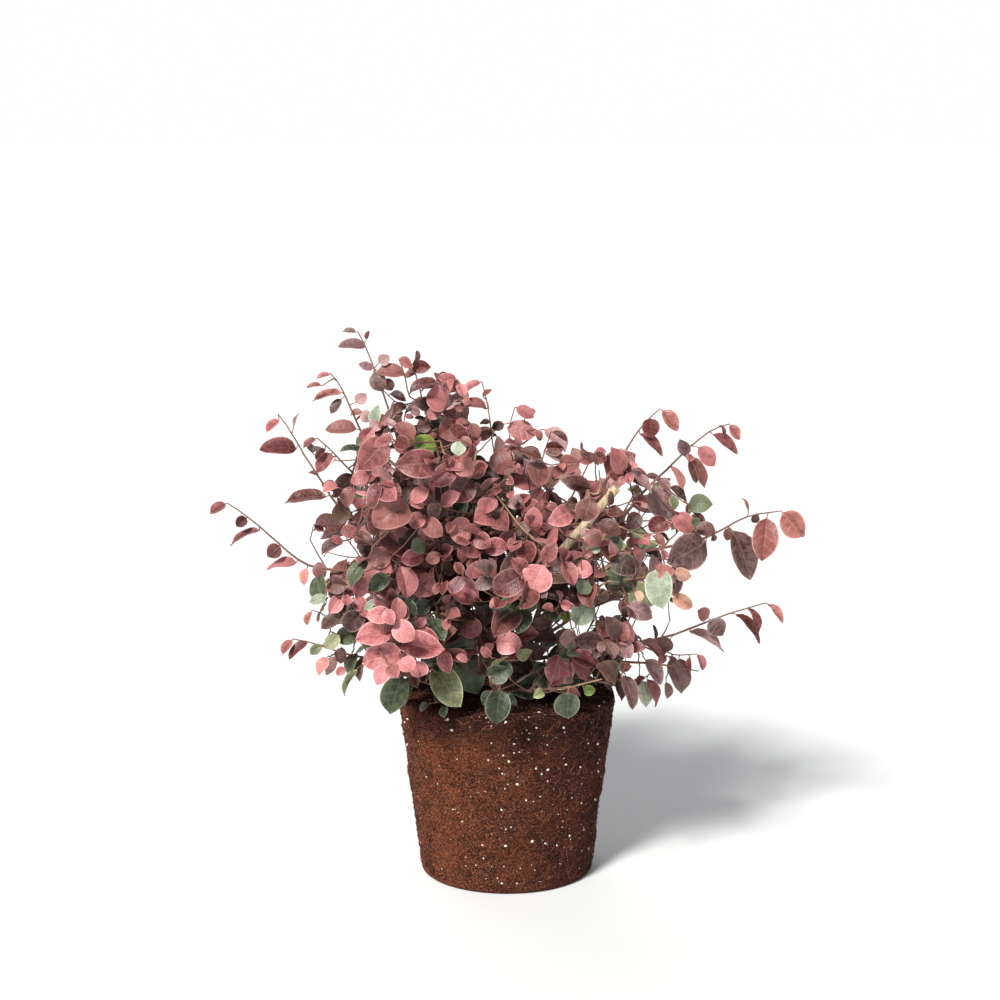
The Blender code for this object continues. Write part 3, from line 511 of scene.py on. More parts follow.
        (400, 564, 406, 598, 16, "burgundy"), (412, 576, 433, 595, 20, "burgundy"),
        (424, 540, 412, 550, 12, "green"), (390, 575, 368, 590, 14, "green"),
        (430, 600, 415, 612, 14, "green"), (370, 475, 351, 482, 11, "burgundy"),
        (381, 482, 371, 509, 12, "burgundy"), (356, 531, 341, 532, 15, "burgundy"),
        (425, 515, 410, 525, 13, "burgundy"), (440, 506, 428, 514, 12, "umber"),
        (431, 528, 421, 541, 13, "burgundy"), (441, 556, 426, 560, 10, "salmon"),
        (368, 558, 352, 588, 14, "green"), (344, 541, 322, 555, 11, "umber"),
    ),
    "front": (
        (525, 573, 494, 592, 24, "wine"), (544, 563, 530, 591, 25, "rose"),
        (494, 642, 522, 646, 18, "rose"), (463, 621, 479, 636, 18, "burgundy"),
        (483, 634, 495, 645, 14, "wine"), (463, 576, 452, 592, 12, "blush"),
    ),
    "breast": (
        (483, 547, 508, 547, 17, "rose"), (519, 541, 531, 561, 22, "burgundy"),
        (474, 529, 449, 531, 20, "burgundy"), (469, 558, 457, 549, 12, "burgundy"),
        (474, 535, 490, 546, 14, "burgundy"), (503, 545, 513, 530, 14, "burgundy"),
        (493, 494, 485, 512, 14, "burgundy"), (456, 562, 441, 571, 13, "plum"),
        (591, 497, 584, 521, 20, "wine"),
    ),
}

# How far seen twigs lie before their stem at their foot and at their tip
SEEN_TWIG_DEPTHS = (0.004, 0.016)
SEEN_TWIG_RADII = (0.0011, 0.0006)
# From how far off a seen leaf gets a twig, how far the twig comes forward, as shares of its
# shoot's bush, how much it sags, and where its own leaves start
SEEN_NEAR = 0.010
SEEN_FORWARD = (0.18, 0.46)
SEEN_SAG = 0.1
SEEN_LEAF_START = 0.008
MOST_FORWARD = -0.262
# How far a seen leaf leans to the view, its stalk and length as shares of what shows, the factor
# on its width, and how narrow and wide a blade may be against the common one
SEEN_LEAN = (-0.35, 0.05)
SEEN_STALK = 0.07
SEEN_LENGTH = 1.07
SEEN_WIDTH = 1.22
SEEN_WIDTHS = (0.74, 1.5)
# How clear of a seen leaf others keep, as a share of the length of both, and at which distances
# they could shade it
SEEN_CLEAR = 0.25
SEEN_BEFORE = 0.01
SHADE_REACH = (0.004, 0.12)

# Open sky within the crown: the middle and radius of circles in the photograph's pixels
SKY_GAPS = (
    (722, 585, 25), (361, 702, 15), (669, 621, 13), (700, 592, 15), (297, 527, 14), (721, 562, 12),
    (647, 459, 11), (602, 431, 17), (286, 580, 15), (501, 401, 11), (352, 461, 6), (553, 416, 13),
    (613, 611, 6), (332, 476, 7), (376, 705, 9), (310, 551, 9), (586, 629, 6), (300, 542, 12),
    (645, 628, 6), (338, 704, 10), (682, 618, 8), (459, 368, 9), (770, 628, 11), (712, 606, 10),
    (326, 514, 7), (655, 466, 7), (470, 414, 5), (567, 626, 5), (540, 420, 7), (588, 468, 5),
    (644, 521, 5), (515, 418, 5), (316, 687, 12), (340, 435, 7), (565, 490, 4), (602, 566, 4),
    (712, 684, 15), (299, 606, 9), (309, 664, 7), (532, 423, 5), (320, 509, 8), (293, 593, 12),
    (349, 439, 6), (643, 528, 4), (474, 395, 4), (483, 415, 4), (291, 461, 9), (600, 613, 4),
    (465, 376, 6), (591, 625, 5), (687, 589, 6), (705, 470, 6), (519, 495, 4), (713, 652, 6),
    (525, 400, 6), (242, 544, 6), (623, 707, 5), (682, 643, 7), (258, 543, 9), (483, 452, 4),
    (573, 592, 4), (321, 604, 4), (331, 569, 5), (365, 687, 7), (695, 490, 7), (750, 644, 6),
    (658, 612, 4), (474, 718, 14), (428, 722, 10), (540, 716, 10), (636, 716, 9), (612, 713, 10),
    (548, 720, 8), (722, 506, 13), (738, 500, 10), (706, 519, 4), (738, 546, 5), (603, 703, 8),
    (475, 698, 6), (521, 716, 9), (590, 694, 5), (535, 445, 6), (527, 424, 5), (621, 497, 5),
    (637, 657, 5), (635, 673, 5), (679, 648, 7), (693, 686, 8), (313, 632, 7), (338, 556, 6),
    (354, 459, 6), (642, 467, 6), (516, 419, 5), (563, 494, 4), (746, 617, 5), (708, 608, 6),
    (301, 521, 8), (332, 402, 5),
)
# Places where only what lies nearer than the limbs is kept away, so that the limbs show
LIMB_SIGHTS = (
    (568, 538, 7), (577, 527, 7), (586, 516, 8), (596, 504, 8), (607, 492, 8), (497, 497, 4),
    (508, 510, 4), (519, 523, 4), (612, 520, 4), (626, 529, 4), (640, 538, 4), (656, 545, 4),
    (604, 580, 4), (620, 580, 4), (637, 579, 4), (654, 575, 4), (560, 690, 4), (578, 685, 4),
    (594, 681, 4), (492, 440, 4), (493, 455, 4),
)
LIMB_DEPTH = -0.065
GAP_MARGIN = 0.16

# Tint: upper dark, upper light, vein; underside dark, underside light
LEAF_COLOURS = {
    "burgundy": ((90, 42, 41), (164, 100, 100), (204, 152, 148), (134, 92, 90), (182, 140, 136)),
    "wine": ((68, 31, 27), (136, 83, 80), (182, 132, 128), (116, 78, 72), (164, 126, 118)),
    "plum": ((45, 22, 17), (102, 68, 63), (150, 116, 112), (98, 68, 60), (146, 114, 104)),
    "rose": ((134, 67, 70), (203, 132, 133), (234, 184, 180), (182, 134, 130), (214, 172, 168)),
    "salmon": ((128, 74, 70), (192, 130, 122), (222, 176, 164), (166, 122, 110), (202, 162, 146)),
    "umber": ((58, 36, 33), (124, 92, 88), (172, 142, 134), (124, 98, 80), (170, 144, 126)),
    "green": ((40, 47, 33), (96, 103, 79), (140, 148, 124), (104, 112, 86), (146, 150, 122)),
    "olive": ((84, 90, 62), (146, 146, 110), (190, 190, 158), (138, 140, 108), (176, 176, 144)),
    "pale": ((124, 132, 112), (180, 188, 166), (208, 214, 196), (164, 166, 136), (198, 198, 168)),
    "blush": ((114, 80, 82), (184, 144, 145), (216, 184, 180), (168, 134, 132), (214, 182, 178)),
    "peach": ((160, 112, 94), (206, 162, 142), (224, 190, 172), (200, 150, 128), (232, 196, 172)),
    "lime": ((84, 104, 44), (134, 150, 72), (176, 190, 104), (120, 140, 70), (168, 184, 112)),
}
TINTS = tuple(LEAF_COLOURS)
# How much of a green tinge the older parts of a leaf take
FADED = {"plum": 0.35, "umber": 0.15, "wine": 0.2, "blush": 0.3, "burgundy": 0.1, "green": 0.3}

# A palette deals out the tints of its sprays by weight
PALETTES = {
    "wine": {"burgundy": 8, "wine": 9, "plum": 6, "rose": 1, "umber": 3, "blush": 1, "green": 1},
    "deep": {"wine": 3, "plum": 4, "burgundy": 3, "green": 2, "umber": 2},
    "tips": {"burgundy": 4, "salmon": 1, "wine": 3, "umber": 1, "blush": 3},
    "rose": {"rose": 8, "burgundy": 2},
    "salmon": {"salmon": 4, "umber": 3, "burgundy": 3},
    "mixed": {
        "wine": 3, "plum": 4, "burgundy": 3, "umber": 3, "green": 3, "olive": 2, "blush": 1,
        "salmon": 1,
    },
    "low": {"green": 7, "olive": 2, "plum": 2, "wine": 1},
}

# Tints of younger leaves, at the tips, and darker tints for painted shade on leaves inside the
# crown; the leaves of a twig that comes forward to a seen leaf take the darker one too
YOUNG = {"wine": "burgundy", "plum": "wine", "salmon": "burgundy"}
DARKER = {"burgundy": "wine", "rose": "burgundy", "salmon": "umber", "blush": "wine"}
DARKEST = {"wine": "plum", "burgundy": "plum", "umber": "green"}
DARKER_FROM = 1.1
DARKEST_FROM = 1.8
# Which leaves count as outside another one: their distance, and the cone that they lie in
CROWD_REACH = (0.006, 0.11)
CROWD_RADIUS = 0.010
CROWD_SPREAD = 0.3
CROWD_MIDDLE = 4.0
CROWD_SEED = 31
# How much the tone of a leaf of the rule is raised, and how much it is lowered for each step inside
# the crown: painted light outside and painted shade inside
OUTER_PAINTED_LIGHT = 0.45
INNER_PAINTED_SHADE = 0.6

# How much a finish mirrors where it is seen straight on
PLAIN_SHINE = 0.5
LEAF_SHINE = 0.32
MATT_SHINE = 0.2
SOIL_SHINE = 0.08


# ---- growth ----


class Bend:
    """A quadratic curve from a start, bent towards a middle point, to a tip."""

    def __init__(self, start, middle, tip):
        self.start, self.middle, self.tip = map(np.array, (start, middle, tip))

    def at(self, share):
        rest = 1.0 - share
        return rest * rest * self.start + 2 * rest * share * self.middle + share * share * self.tip

    def part(self, first, last, count):
        """Points at equal shares from the first share to the last."""
        return self.at(np.linspace(first, last, count)[:, None])


class Run:
    """Straight runs from point to point, measured by the length along them."""

    def __init__(self, points):
        self.points = np.asarray(points)
        steps = np.diff(self.points, axis=0)
        lengths = np.linalg.norm(steps, axis=1)
        self.headings = steps / lengths[:, None]
        self.marks = np.concatenate([[0.0], np.cumsum(lengths)])
        self.length = self.marks[-1]

    def at(self, along):
        return np.array([np.interp(along, self.marks, column) for column in self.points.T])

    def heading(self, along):
        middles = (self.marks[:-1] + self.marks[1:]) / 2
        return unit(np.array([np.interp(along, middles, column) for column in self.headings.T]))


def trunk_curve():
    start = np.array((0.0, 0.0, BALL_HEIGHT))
    return Bend(start, start + UP * TRUNK_HEIGHT / 2, start + (TRUNK_LEAN, 0.0, TRUNK_HEIGHT))


def trunk_radius(share):
    """Falls with the square of the height through the root flare, then evenly to the fork."""
    flare = np.maximum(0.0, 1.0 - share / TRUNK_FLARE_SHARE) ** 2
    waist = TRUNK_WAIST_RADIUS + (TRUNK_TIP_RADIUS - TRUNK_WAIST_RADIUS) * share
    return waist + (TRUNK_FOOT_RADIUS - TRUNK_WAIST_RADIUS) * flare


def shoot_curves():
    """Each shoot's curve. It starts on its carrier's axis, and its tip and its bend are worked out
    from its azimuth, reach, height, lean and rise."""
    curves = {"trunk": trunk_curve()}
    bares = {"trunk": 1.0}
    for shoot in SHOOTS:
        start = curves[shoot.carrier].at(shoot.foot * bares[shoot.carrier])
        turn = math.radians(shoot.azimuth)
        tip = np.array((shoot.reach * math.cos(turn), shoot.reach * math.sin(turn), shoot.height))
        way = tip - start
        middle = start + way * np.array((shoot.lean, shoot.lean, shoot.rise))
        if shoot.name == "top":
            lean = curves["trunk"].tip - curves["trunk"].middle
            middle[:2] = start[:2] + 0.5 * way[2] * unit(lean)[:2]
        curves[shoot.name] = Bend(start, middle, tip)
        bares[shoot.name] = shoot.bare
    return curves


def sawn_limb_curve(curves):
    return Bend(curves["top"].at(SAWN_FOOT), SAWN_BEND, SAWN_END)


def bough_radii(shoot):
    """The foot and tip radius of a bough. A side bough is slimmer than its carrier at its foot."""
    if shoot.name == "top":
        return TRUNK_TIP_RADIUS, BOUGH_TIP_RADIUS
    if shoot.carrier == "trunk":
        return BOUGH_FOOT_RADIUS, BOUGH_TIP_RADIUS
    carrier = next(other for other in SHOOTS if other.name == shoot.carrier)
    foot, tip = bough_radii(carrier)
    return SIDE_BOUGH_SHARE * (foot + (tip - foot) * shoot.foot), BOUGH_TIP_RADIUS


def facing(place):
    """Where a leaf's face looks: out from the plant's axis, up, and to the front or, well behind
    the axis, to the back."""
    out = np.array((place[0], place[1], 0.0))
    out /= max(np.linalg.norm(out), 1e-6)
    turn = FACE_TURN if place[1] > BACK_START else -FACE_TURN
    return unit(FACE_OUT * out + np.array((0.0, turn, FACE_UP)))


def swung(face, angle):
    """The direction turned about the vertical."""
    cos, sin = math.cos(angle), math.sin(angle)
    return np.array((cos * face[0] - sin * face[1], sin * face[0] + cos * face[1], face[2]))


def seen_at(places, depth):
    """The points at these places of the photograph, in pixels, at these values of y."""
    across = (places[..., 0] - VIEW_MIDDLE) / VIEW_PIXELS
    up = (VIEW_MIDDLE - places[..., 1]) / VIEW_PIXELS
    way = across[..., None] * np.array((1.0, 0.0, 0.0)) + up[..., None] * VIEW_UP - TOWARDS_VIEW
    return VIEW_PLACE + ((depth - VIEW_PLACE[1]) / way[..., 1])[..., None] * way


def pixels_of(points):
    """Where points are in the photograph, in pixels."""
    offset = points - VIEW_PLACE
    away = -(offset @ TOWARDS_VIEW)
    across = VIEW_MIDDLE + VIEW_PIXELS * offset[..., 0] / away
    down = VIEW_MIDDLE - VIEW_PIXELS * (offset @ VIEW_UP) / away
    return np.stack([across, down], axis=-1)


def nearest(points, place):
    """The one of the points that is nearest to a place of the photograph."""
    return points[np.argmin(np.linalg.norm(pixels_of(points) - place, axis=-1))]


def smoothed(points, count):
    """Points at equal steps along straight runs, with the corners rounded."""
    run = Run(points)
    points = np.array([run.at(along) for along in np.linspace(0, run.length, count)])
    for _ in range(2):
        points[1:-1] = (points[:-2] + 2 * points[1:-1] + points[2:]) / 4
    return points


def followed(curve, bare, seen):
    """A stem from the tip of its bough through the places where the photograph shows it. It goes
    as deep as its curve, evenly along."""
    start = curve.at(bare)
    places = np.array(seen, float)
    run = Run(np.concatenate([[pixels_of(start)], places]))
    depth = start[1] + (curve.tip[1] - start[1]) * run.marks[1:] / run.length
    return smoothed(np.concatenate([[start], seen_at(places, depth)]), STEM_POINTS)


# A tube's parent is the number of the tube that it grows on, or None where it stays without leaves
Tube = namedtuple("Tube", "points foot tip parent")
# Place is the stalk's foot, base the blade's, and carrier the number of the tube that bears it
Leaf = namedtuple(
    "Leaf", "place base heading face length tint wide seen carrier fold curl twist tone"
)


class Spray:
    """The stem, twigs and leaves of one shoot."""

    def __init__(self, shoot, curve):
        self.shoot = shoot
        self.draw = np.random.default_rng(SPRAY_SEED)
        self.tubes, self.pale_tubes, self.leaves = [], [], []
        palette = PALETTES[shoot.palette]
        self.names = list(palette)
        self.weights = np.array(list(palette.values())) / sum(palette.values())
        seen = SEEN_STEMS.get(shoot.name)
        if seen:
            path = followed(curve, shoot.bare, seen)
        else:
            path = curve.part(shoot.bare, 1.0, STEM_POINTS)
        stem = self.zigzag(path)
        foot = BOUGH_TIP_RADIUS if shoot.bare else LOW_STEM_RADIUS
        start = STEM_START if shoot.bare else LOW_STEM_START
        self.tubes.append(Tube(stem.points, foot, STEM_TIP_RADIUS, None))
        self.add_seen_leaves(self.add_seen_twigs(stem))
        if shoot.bare:
            self.add_inner_twigs(Run(curve.part(0.0, shoot.bare, INNER_POINTS)))
        if not seen:
            self.add_leaves(stem, start, self.tint(), 0)
        self.add_side_twigs(stem, start)

    def add_seen_twigs(self, stem):
        """The twigs that the photograph shows on this shoot. Returns the points of all that may
        carry the leaves that it shows."""
        carriers = [stem.points]
        for name, finish, places in SEEN_TWIGS:
            if name == self.shoot.name:
                places = np.array(places, float)
                start = nearest(stem.points, places[0])
                depth = start[1] - np.linspace(*SEEN_TWIG_DEPTHS, len(places))
                path = np.concatenate([[start], seen_at(places, depth)])
                points = smoothed(path, TWIG_POINTS)
                carriers.append(points)
                tubes_so_far = self.tubes if finish == "young" else self.pale_tubes
                tubes_so_far.append(Tube(points, *SEEN_TWIG_RADII, None))
        return np.concatenate(carriers)

    def add_seen_leaves(self, carriers):
        """The leaves that the photograph shows on this shoot. Each starts at the depth of the
        nearest carrier in the picture. One that starts too far from it gets a leafy twig, which
        comes forward to its foot."""
        for *ends, width, tint in SEEN_LEAVES.get(self.shoot.name, ()):
            foot, tip = np.array(ends[:2], float), np.array(ends[2:], float)
            carrier = nearest(carriers, foot)
            base = seen_at(foot, carrier[1])
            if np.linalg.norm(base - carrier) > SEEN_NEAR:
                forward = self.draw.uniform(*SEEN_FORWARD) * self.shoot.bush
                base = seen_at(foot, max(carrier[1] - forward, MOST_FORWARD))
                sag = SEEN_SAG * np.linalg.norm(base - carrier) * UP
                bend = (carrier + base) / 2 - sag + self.sway(SEEN_SAG * forward)
                twig = self.zigzag(Bend(carrier, bend, base).part(0.0, 1.0, TWIG_POINTS))
                self.tubes.append(Tube(twig.points, *TWIG_RADII, None))
                shade = self.tint()
                own = len(self.tubes) - 1
                self.add_leaves(twig, SEEN_LEAF_START, DARKER.get(shade, shade), own)
                carrier = twig.points[-2]
            long = np.linalg.norm(tip - foot)
            lean = self.draw.uniform(*SEEN_LEAN) * long * PIXEL
            way = seen_at(tip, max(base[1] + lean, MOST_FORWARD)) - base
            heading = unit(way)
            share = SEEN_WIDTH * width / (LEAF_WIDTH * long)
            least, most = SEEN_WIDTHS
            wide = max(least, min(most, share if share > 1 else math.sqrt(share)))
            open_share = min(1.0, share / wide)
            side = np.cross(heading, TOWARDS_VIEW)
            side *= 1 if side[2] >= 0 else -1
            face = open_share * TOWARDS_VIEW + math.sqrt(1 - open_share**2) * unit(side)
            length = (SEEN_LENGTH - SEEN_STALK) * np.linalg.norm(way)
            self.put_leaf(
                carrier, base + SEEN_STALK * way, heading, face, length, tint, wide=wide, seen=True
            )

    def add_inner_twigs(self, bough):
        """Twigs on the outer part of the bough, inside the crown."""
        for share, turn in zip(INNER_SHARES, INNER_TURNS):
            along = share * bough.length
            place = bough.at(along)
            if place[2] > INNER_LEAST_HEIGHT:
                turn = math.radians(turn)
                self.add_twig(place, bough.heading(along), turn, INNER_REACH, TWIG_RADII, 0)

    def add_side_twigs(self, stem, start):
        """Twigs at equal steps along the stem, shorter towards its tip, each on another side."""
        leafy = stem.length - start
        twigs_share = SLIM_TWIGS_SHARE if self.shoot.bush < SLIM_BUSH else TWIGS_SHARE
        for step in range(round(twigs_share * leafy / TWIG_STEP)):
            share = (step + 0.3) * TWIG_STEP / leafy
            shrunk = self.shoot.bush * (1.0 - TWIG_SHRINK * share)
            reach = shrunk * self.draw.uniform(*TWIG_SIZES)
            if reach > TWIG_LEAST:
                sway = self.draw.uniform(-1, 1) * TWIG_TURN_SWAY
                turn = math.radians(TWIG_TURNS[step % len(TWIG_TURNS)] + sway)
                along = start + leafy * share
                self.add_twig(stem.at(along), stem.heading(along), turn, reach, TWIG_RADII, 0)

    def add_twig(self, place, ahead, turn, reach, radii, parent):
        """A twig that leaves the axis at an angle and bends a little upwards. A long one carries
        twiglets."""
        across = unit(np.cross(ahead, facing(place)))
        over = np.cross(across, ahead)
        outward = math.cos(turn) * across + math.sin(turn) * over
        heading = math.cos(TWIG_ANGLE) * ahead + math.sin(TWIG_ANGLE) * outward
        heading = unit(heading + TWIG_LIFT * UP)
        bend = place + reach * (0.5 * heading - TWIG_CURVE * UP * 0.5)
        tip = place + reach * (heading + self.sway(TWIG_SWAY))
        twig = self.zigzag(Bend(place, bend, tip).part(0.0, 1.0, TWIG_POINTS))
        own = len(self.tubes)
        self.tubes.append(Tube(twig.points, *radii, parent))
        self.add_leaves(twig, TWIG_LEAF_START, self.tint(), own)
        if radii is TWIG_RADII and reach > TWIGLET_LEAST:
            for share, side in zip(TWIGLET_SHARES, TWIGLET_TURNS):
                along = share * twig.length
                more = reach * self.draw.uniform(*TWIGLET_REACH)
                side = math.radians(side)
                self.add_twig(twig.at(along), twig.heading(along), side, more, TWIGLET_RADII, own)

    def add_leaves(self, run, start, tint, carrier):
        """Leaves in two ranks, smaller towards the tip, and a few small ones at the tip."""
        young_tint = YOUNG.get(tint, tint)
        count = max(1, round((run.length - start) / LEAF_STEP))
        for step in range(count):
            along = start + (run.length - start) * (step + 0.4) / count
            taper = 1.0 - LEAF_TAPER * (along / run.length) ** 3
            size = self.shoot.blade * taper * self.draw.uniform(*LEAF_SIZES)
            side = 1 if step % 2 else -1
            tone = young_tint if along > YOUNG_START * run.length else tint
            self.add_leaf(run.at(along), run.heading(along), side, size, tone, carrier)
        for share, side in TIP_LEAVES:
            size = self.shoot.blade * share
            self.add_leaf(run.points[-1], run.heading(run.length), side, size, young_tint, carrier)

    def add_leaf(self, place, ahead, side, length, tint, carrier):
        """A leaf with its stalk. Side 0 is a leaf that goes on from the tip."""
        angle = self.draw.uniform(-1, 1) * FACE_SWING
        face = swung(facing(place), angle) + self.sway(LEAF_SWAY)
        across = unit(np.cross(ahead, face))
        lean = LEAF_ANGLE * abs(side)
        heading = math.cos(lean) * ahead + np.sign(side) * math.sin(lean) * across
        stalk_way = unit(heading + 0.2 * ahead + 0.1 * UP)
        heading = unit(heading + self.sway(LEAF_SWAY) - self.shoot.hang * UP)
        base = place + STALK_SHARE * length * stalk_way
        length = length * BLADE_SHARE * (1 - STALK_SHARE)
        self.put_leaf(place, base, heading, face, length, tint, carrier=carrier)

    def put_leaf(self, place, base, heading, face, length, tint, wide=1.0, seen=False, carrier=0):
        """Keeps a leaf, with its face square to its heading and a fold, curl, twist and tone of
        its own."""
        face = unit(face - heading * (face @ heading))
        shape = self.draw.uniform(-1, 1, 4)
        tint = TINTS.index(tint)
        leaf = Leaf(place, base, heading, face, length, tint, wide, seen, carrier, *shape)
        self.leaves.append(leaf)

    def tint(self):
        return self.names[self.draw.choice(len(self.names), p=self.weights)]

    def sway(self, amount):
        return self.draw.uniform(-1, 1, 3) * amount

    @staticmethod
    def zigzag(points):
        """Every second point moved a little to one side, as the stem turns at each leaf."""
        across = unit(np.cross(points[-1] - points[0], UP) + 1e-9)
        side = np.where(np.arange(len(points)) % 2, ZIGZAG, -ZIGZAG)
        side[0] = side[-1] = 0.0
        return Run(points + side[:, None] * across)

    def trim_twigs(self, places, carriers):
        """Cuts each twig off past the last leaf or twiglet that it carries, and drops it where it
        carries none."""
        carried = {}
        for place, number in zip(places, carriers):
            carried.setdefault(number, []).append(place)
        kept = []
        for number in reversed(range(len(self.tubes))):
            tube = self.tubes[number]
            if tube.parent is not None:
                if number not in carried:
                    continue
                run = Run(tube.points)
                marks = np.linspace(0.0, run.length, TRIM_STEPS)
                offset = run.at(marks).T - np.array(carried[number])[:, None]
                last = marks[np.linalg.norm(offset, axis=-1).argmin(axis=1)].max()
                carried.setdefault(tube.parent, []).append(tube.points[0])
                along = np.linspace(0.0, last, len(tube.points))
                tube = tube._replace(points=run.at(along).T)
            kept.append(tube)
        self.tubes = kept[::-1]


def limb_segments(curves):
    """Every limb as short straight runs: their starts, ends and radii."""
    count = LIMB_RUNS + 1
    shares = np.linspace(0, 1, count)
    limbs = [(curves["trunk"].at(shares[:, None]), trunk_radius(shares))]
    for shoot in SHOOTS:
        if shoot.bare:
            path = curves[shoot.name].part(0.0, shoot.bare, count)
            limbs.append((path, np.linspace(*bough_radii(shoot), count)))
    limbs.append((sawn_limb_curve(curves).part(0.0, 1.0, count), np.full(count, SAWN_RADIUS)))
    starts = np.concatenate([path[:-1] for path, _ in limbs])
    ends = np.concatenate([path[1:] for path, _ in limbs])
    return starts, ends, np.concatenate([radii[:-1] for _, radii in limbs])


def kept_leaves(leaves, curves):
    """Which leaves stay: the seen ones, and those of the rule whose midrib keeps clear of the root
    ball and of the limbs, that neither hide a seen leaf nor fill a gap, and whose middle isn't
    close to that of a leaf before it."""
    length, seen = leaves["length"], leaves["seen"]
    along_blade = (length[:, None] * np.array(MIDRIB_SHARES))[..., None]
    points = leaves["base"][:, None] + leaves["heading"][:, None] * along_blade
    radius = np.hypot(points[..., 0], points[..., 1])
    rise = np.clip(points[..., 2] / BALL_HEIGHT, 0, 1)
    side = BALL_BASE_RADIUS + (BALL_TOP_RADIUS - BALL_BASE_RADIUS) * rise
    above = points[..., 2] > BALL_HEIGHT + BALL_CLEARANCE
    keep = (above | (radius > side + BALL_CLEARANCE)).all(axis=1)
    starts, ends, radii = limb_segments(curves)
    along = ends - starts
    offset = points[:, :, None] - starts
    share = np.clip((offset * along).sum(axis=-1) / (along * along).sum(axis=-1), 0, 1)
    gap = np.linalg.norm(offset - share[..., None] * along, axis=-1) - radii
    keep &= (gap.min(axis=-1) > LIMB_CLEARANCE).all(axis=1)
    keep |= seen
    middle = points[:, 1]
    keep &= ~hides_seen(leaves, middle) & (seen | ~fills_gap(points, length))
    for number in np.flatnonzero(keep & ~seen):
        apart = np.linalg.norm(middle[:number] - middle[number], axis=1)
        near = apart < LEAF_APART * length[number]
        alike = np.abs(leaves["face"][:number] @ leaves["face"][number]) > ALIKE_FACES
        keep[number] = not (near & alike & keep[:number]).any()
    return keep


def hides_seen(leaves, middle):
    """The leaves of the rule that would lie before one of the leaves that the photograph shows, or
    keep the light from a bright one."""
    seen, length = leaves["seen"], leaves["length"]
    across = np.linalg.norm(pixels_of(middle)[:, None] - pixels_of(middle[seen])[None], axis=-1)
    before = middle[:, None, 1] < middle[seen][None, :, 1] + SEEN_BEFORE
    hides = before & (across < SEEN_CLEAR * (length[:, None] + length[seen][None]) / PIXEL)
    bright = seen & (leaves["tint"] == TINTS.index("rose"))
    way = middle[:, None] - middle[bright]
    along = way @ TOWARDS_KEY
    aside = np.linalg.norm(way - along[..., None] * TOWARDS_KEY, axis=-1)
    near = aside < SEEN_CLEAR * (length[:, None] + length[bright])
    shades = (along > SHADE_REACH[0]) & (along < SHADE_REACH[1]) & near
    return ~seen & (hides.any(axis=1) | shades.any(axis=1))


def fills_gap(points, length):
    """The leaves that would lie across open sky or before a limb that shows."""
    places = pixels_of(points)
    margin = GAP_MARGIN * VIEW_PIXELS * length / VIEW_DISTANCE
    filled = np.zeros(len(points), bool)
    for rows, depth in ((SKY_GAPS, math.inf), (LIMB_SIGHTS, LIMB_DEPTH)):
        for across, down, radius in rows:
            apart = np.linalg.norm(places - (across, down), axis=-1).min(axis=1)
            filled |= (apart < radius + margin) & (points[:, 1, 1] < depth)
    return filled


def shade_inner(leaves):
    """The more leaves lie outside a leaf of the rule, the darker its tone and, well inside, its
    tint: painted shade inside the crown. A leaf counts as outside where it lies within a cone that
    opens the way that the inner one faces."""
    middle = leaves["base"] + leaves["heading"] * (0.5 * leaves["length"])[:, None]
    out = np.array([facing(place) for place in middle])
    along = out @ middle.T - (out * middle).sum(axis=1)[:, None]
    square = (middle**2).sum(axis=1)
    apart = square[:, None] + square - 2 * middle @ middle.T - along**2
    least, most = CROWD_REACH
    cone = (CROWD_SPREAD * along + CROWD_RADIUS) ** 2
    outside = ((along > least) & (along < most) & (apart < cone)).sum(axis=1)
    draw = np.random.default_rng(CROWD_SEED)
    crowd = outside + draw.uniform(0, CROWD_MIDDLE, len(outside))
    inner = np.clip(crowd / CROWD_MIDDLE - 1.0, 0, 2)
    of_rule = ~leaves["seen"]
    darkened = np.clip(leaves["tone"] + OUTER_PAINTED_LIGHT - INNER_PAINTED_SHADE * inner, -1, 1)
    leaves["tone"] = np.where(of_rule, darkened, leaves["tone"])
    for depth, darker in ((DARKER_FROM, DARKER), (DARKEST_FROM, DARKEST)):
        tints = np.array([TINTS.index(darker.get(tint, tint)) for tint in TINTS])
        deep = (inner > depth) & of_rule
        leaves["tint"] = np.where(deep, tints[leaves["tint"]], leaves["tint"])


def grown():
    """Every tube and every leaf of the foliage."""
    curves = shoot_curves()
    sprays = [Spray(shoot, curves[shoot.name]) for shoot in SHOOTS]
    rows = [leaf for spray in sprays for leaf in spray.leaves]
    leaves = {name: np.array(column) for name, column in zip(Leaf._fields, zip(*rows))}
    owners = np.repeat(np.arange(len(sprays)), [len(spray.leaves) for spray in sprays])
    keep = kept_leaves(leaves, curves)
    leaves = {name: column[keep] for name, column in leaves.items()}
    owners = owners[keep]
    shade_inner(leaves)
    for number, spray in enumerate(sprays):
        own = owners == number
        spray.trim_twigs(leaves["place"][own], leaves["carrier"][own].tolist())
    return curves, sprays, leaves, owners


# ---- surfaces ----


# Edges that turn by more than this stay sharp
SHARP_ANGLE = math.radians(62)


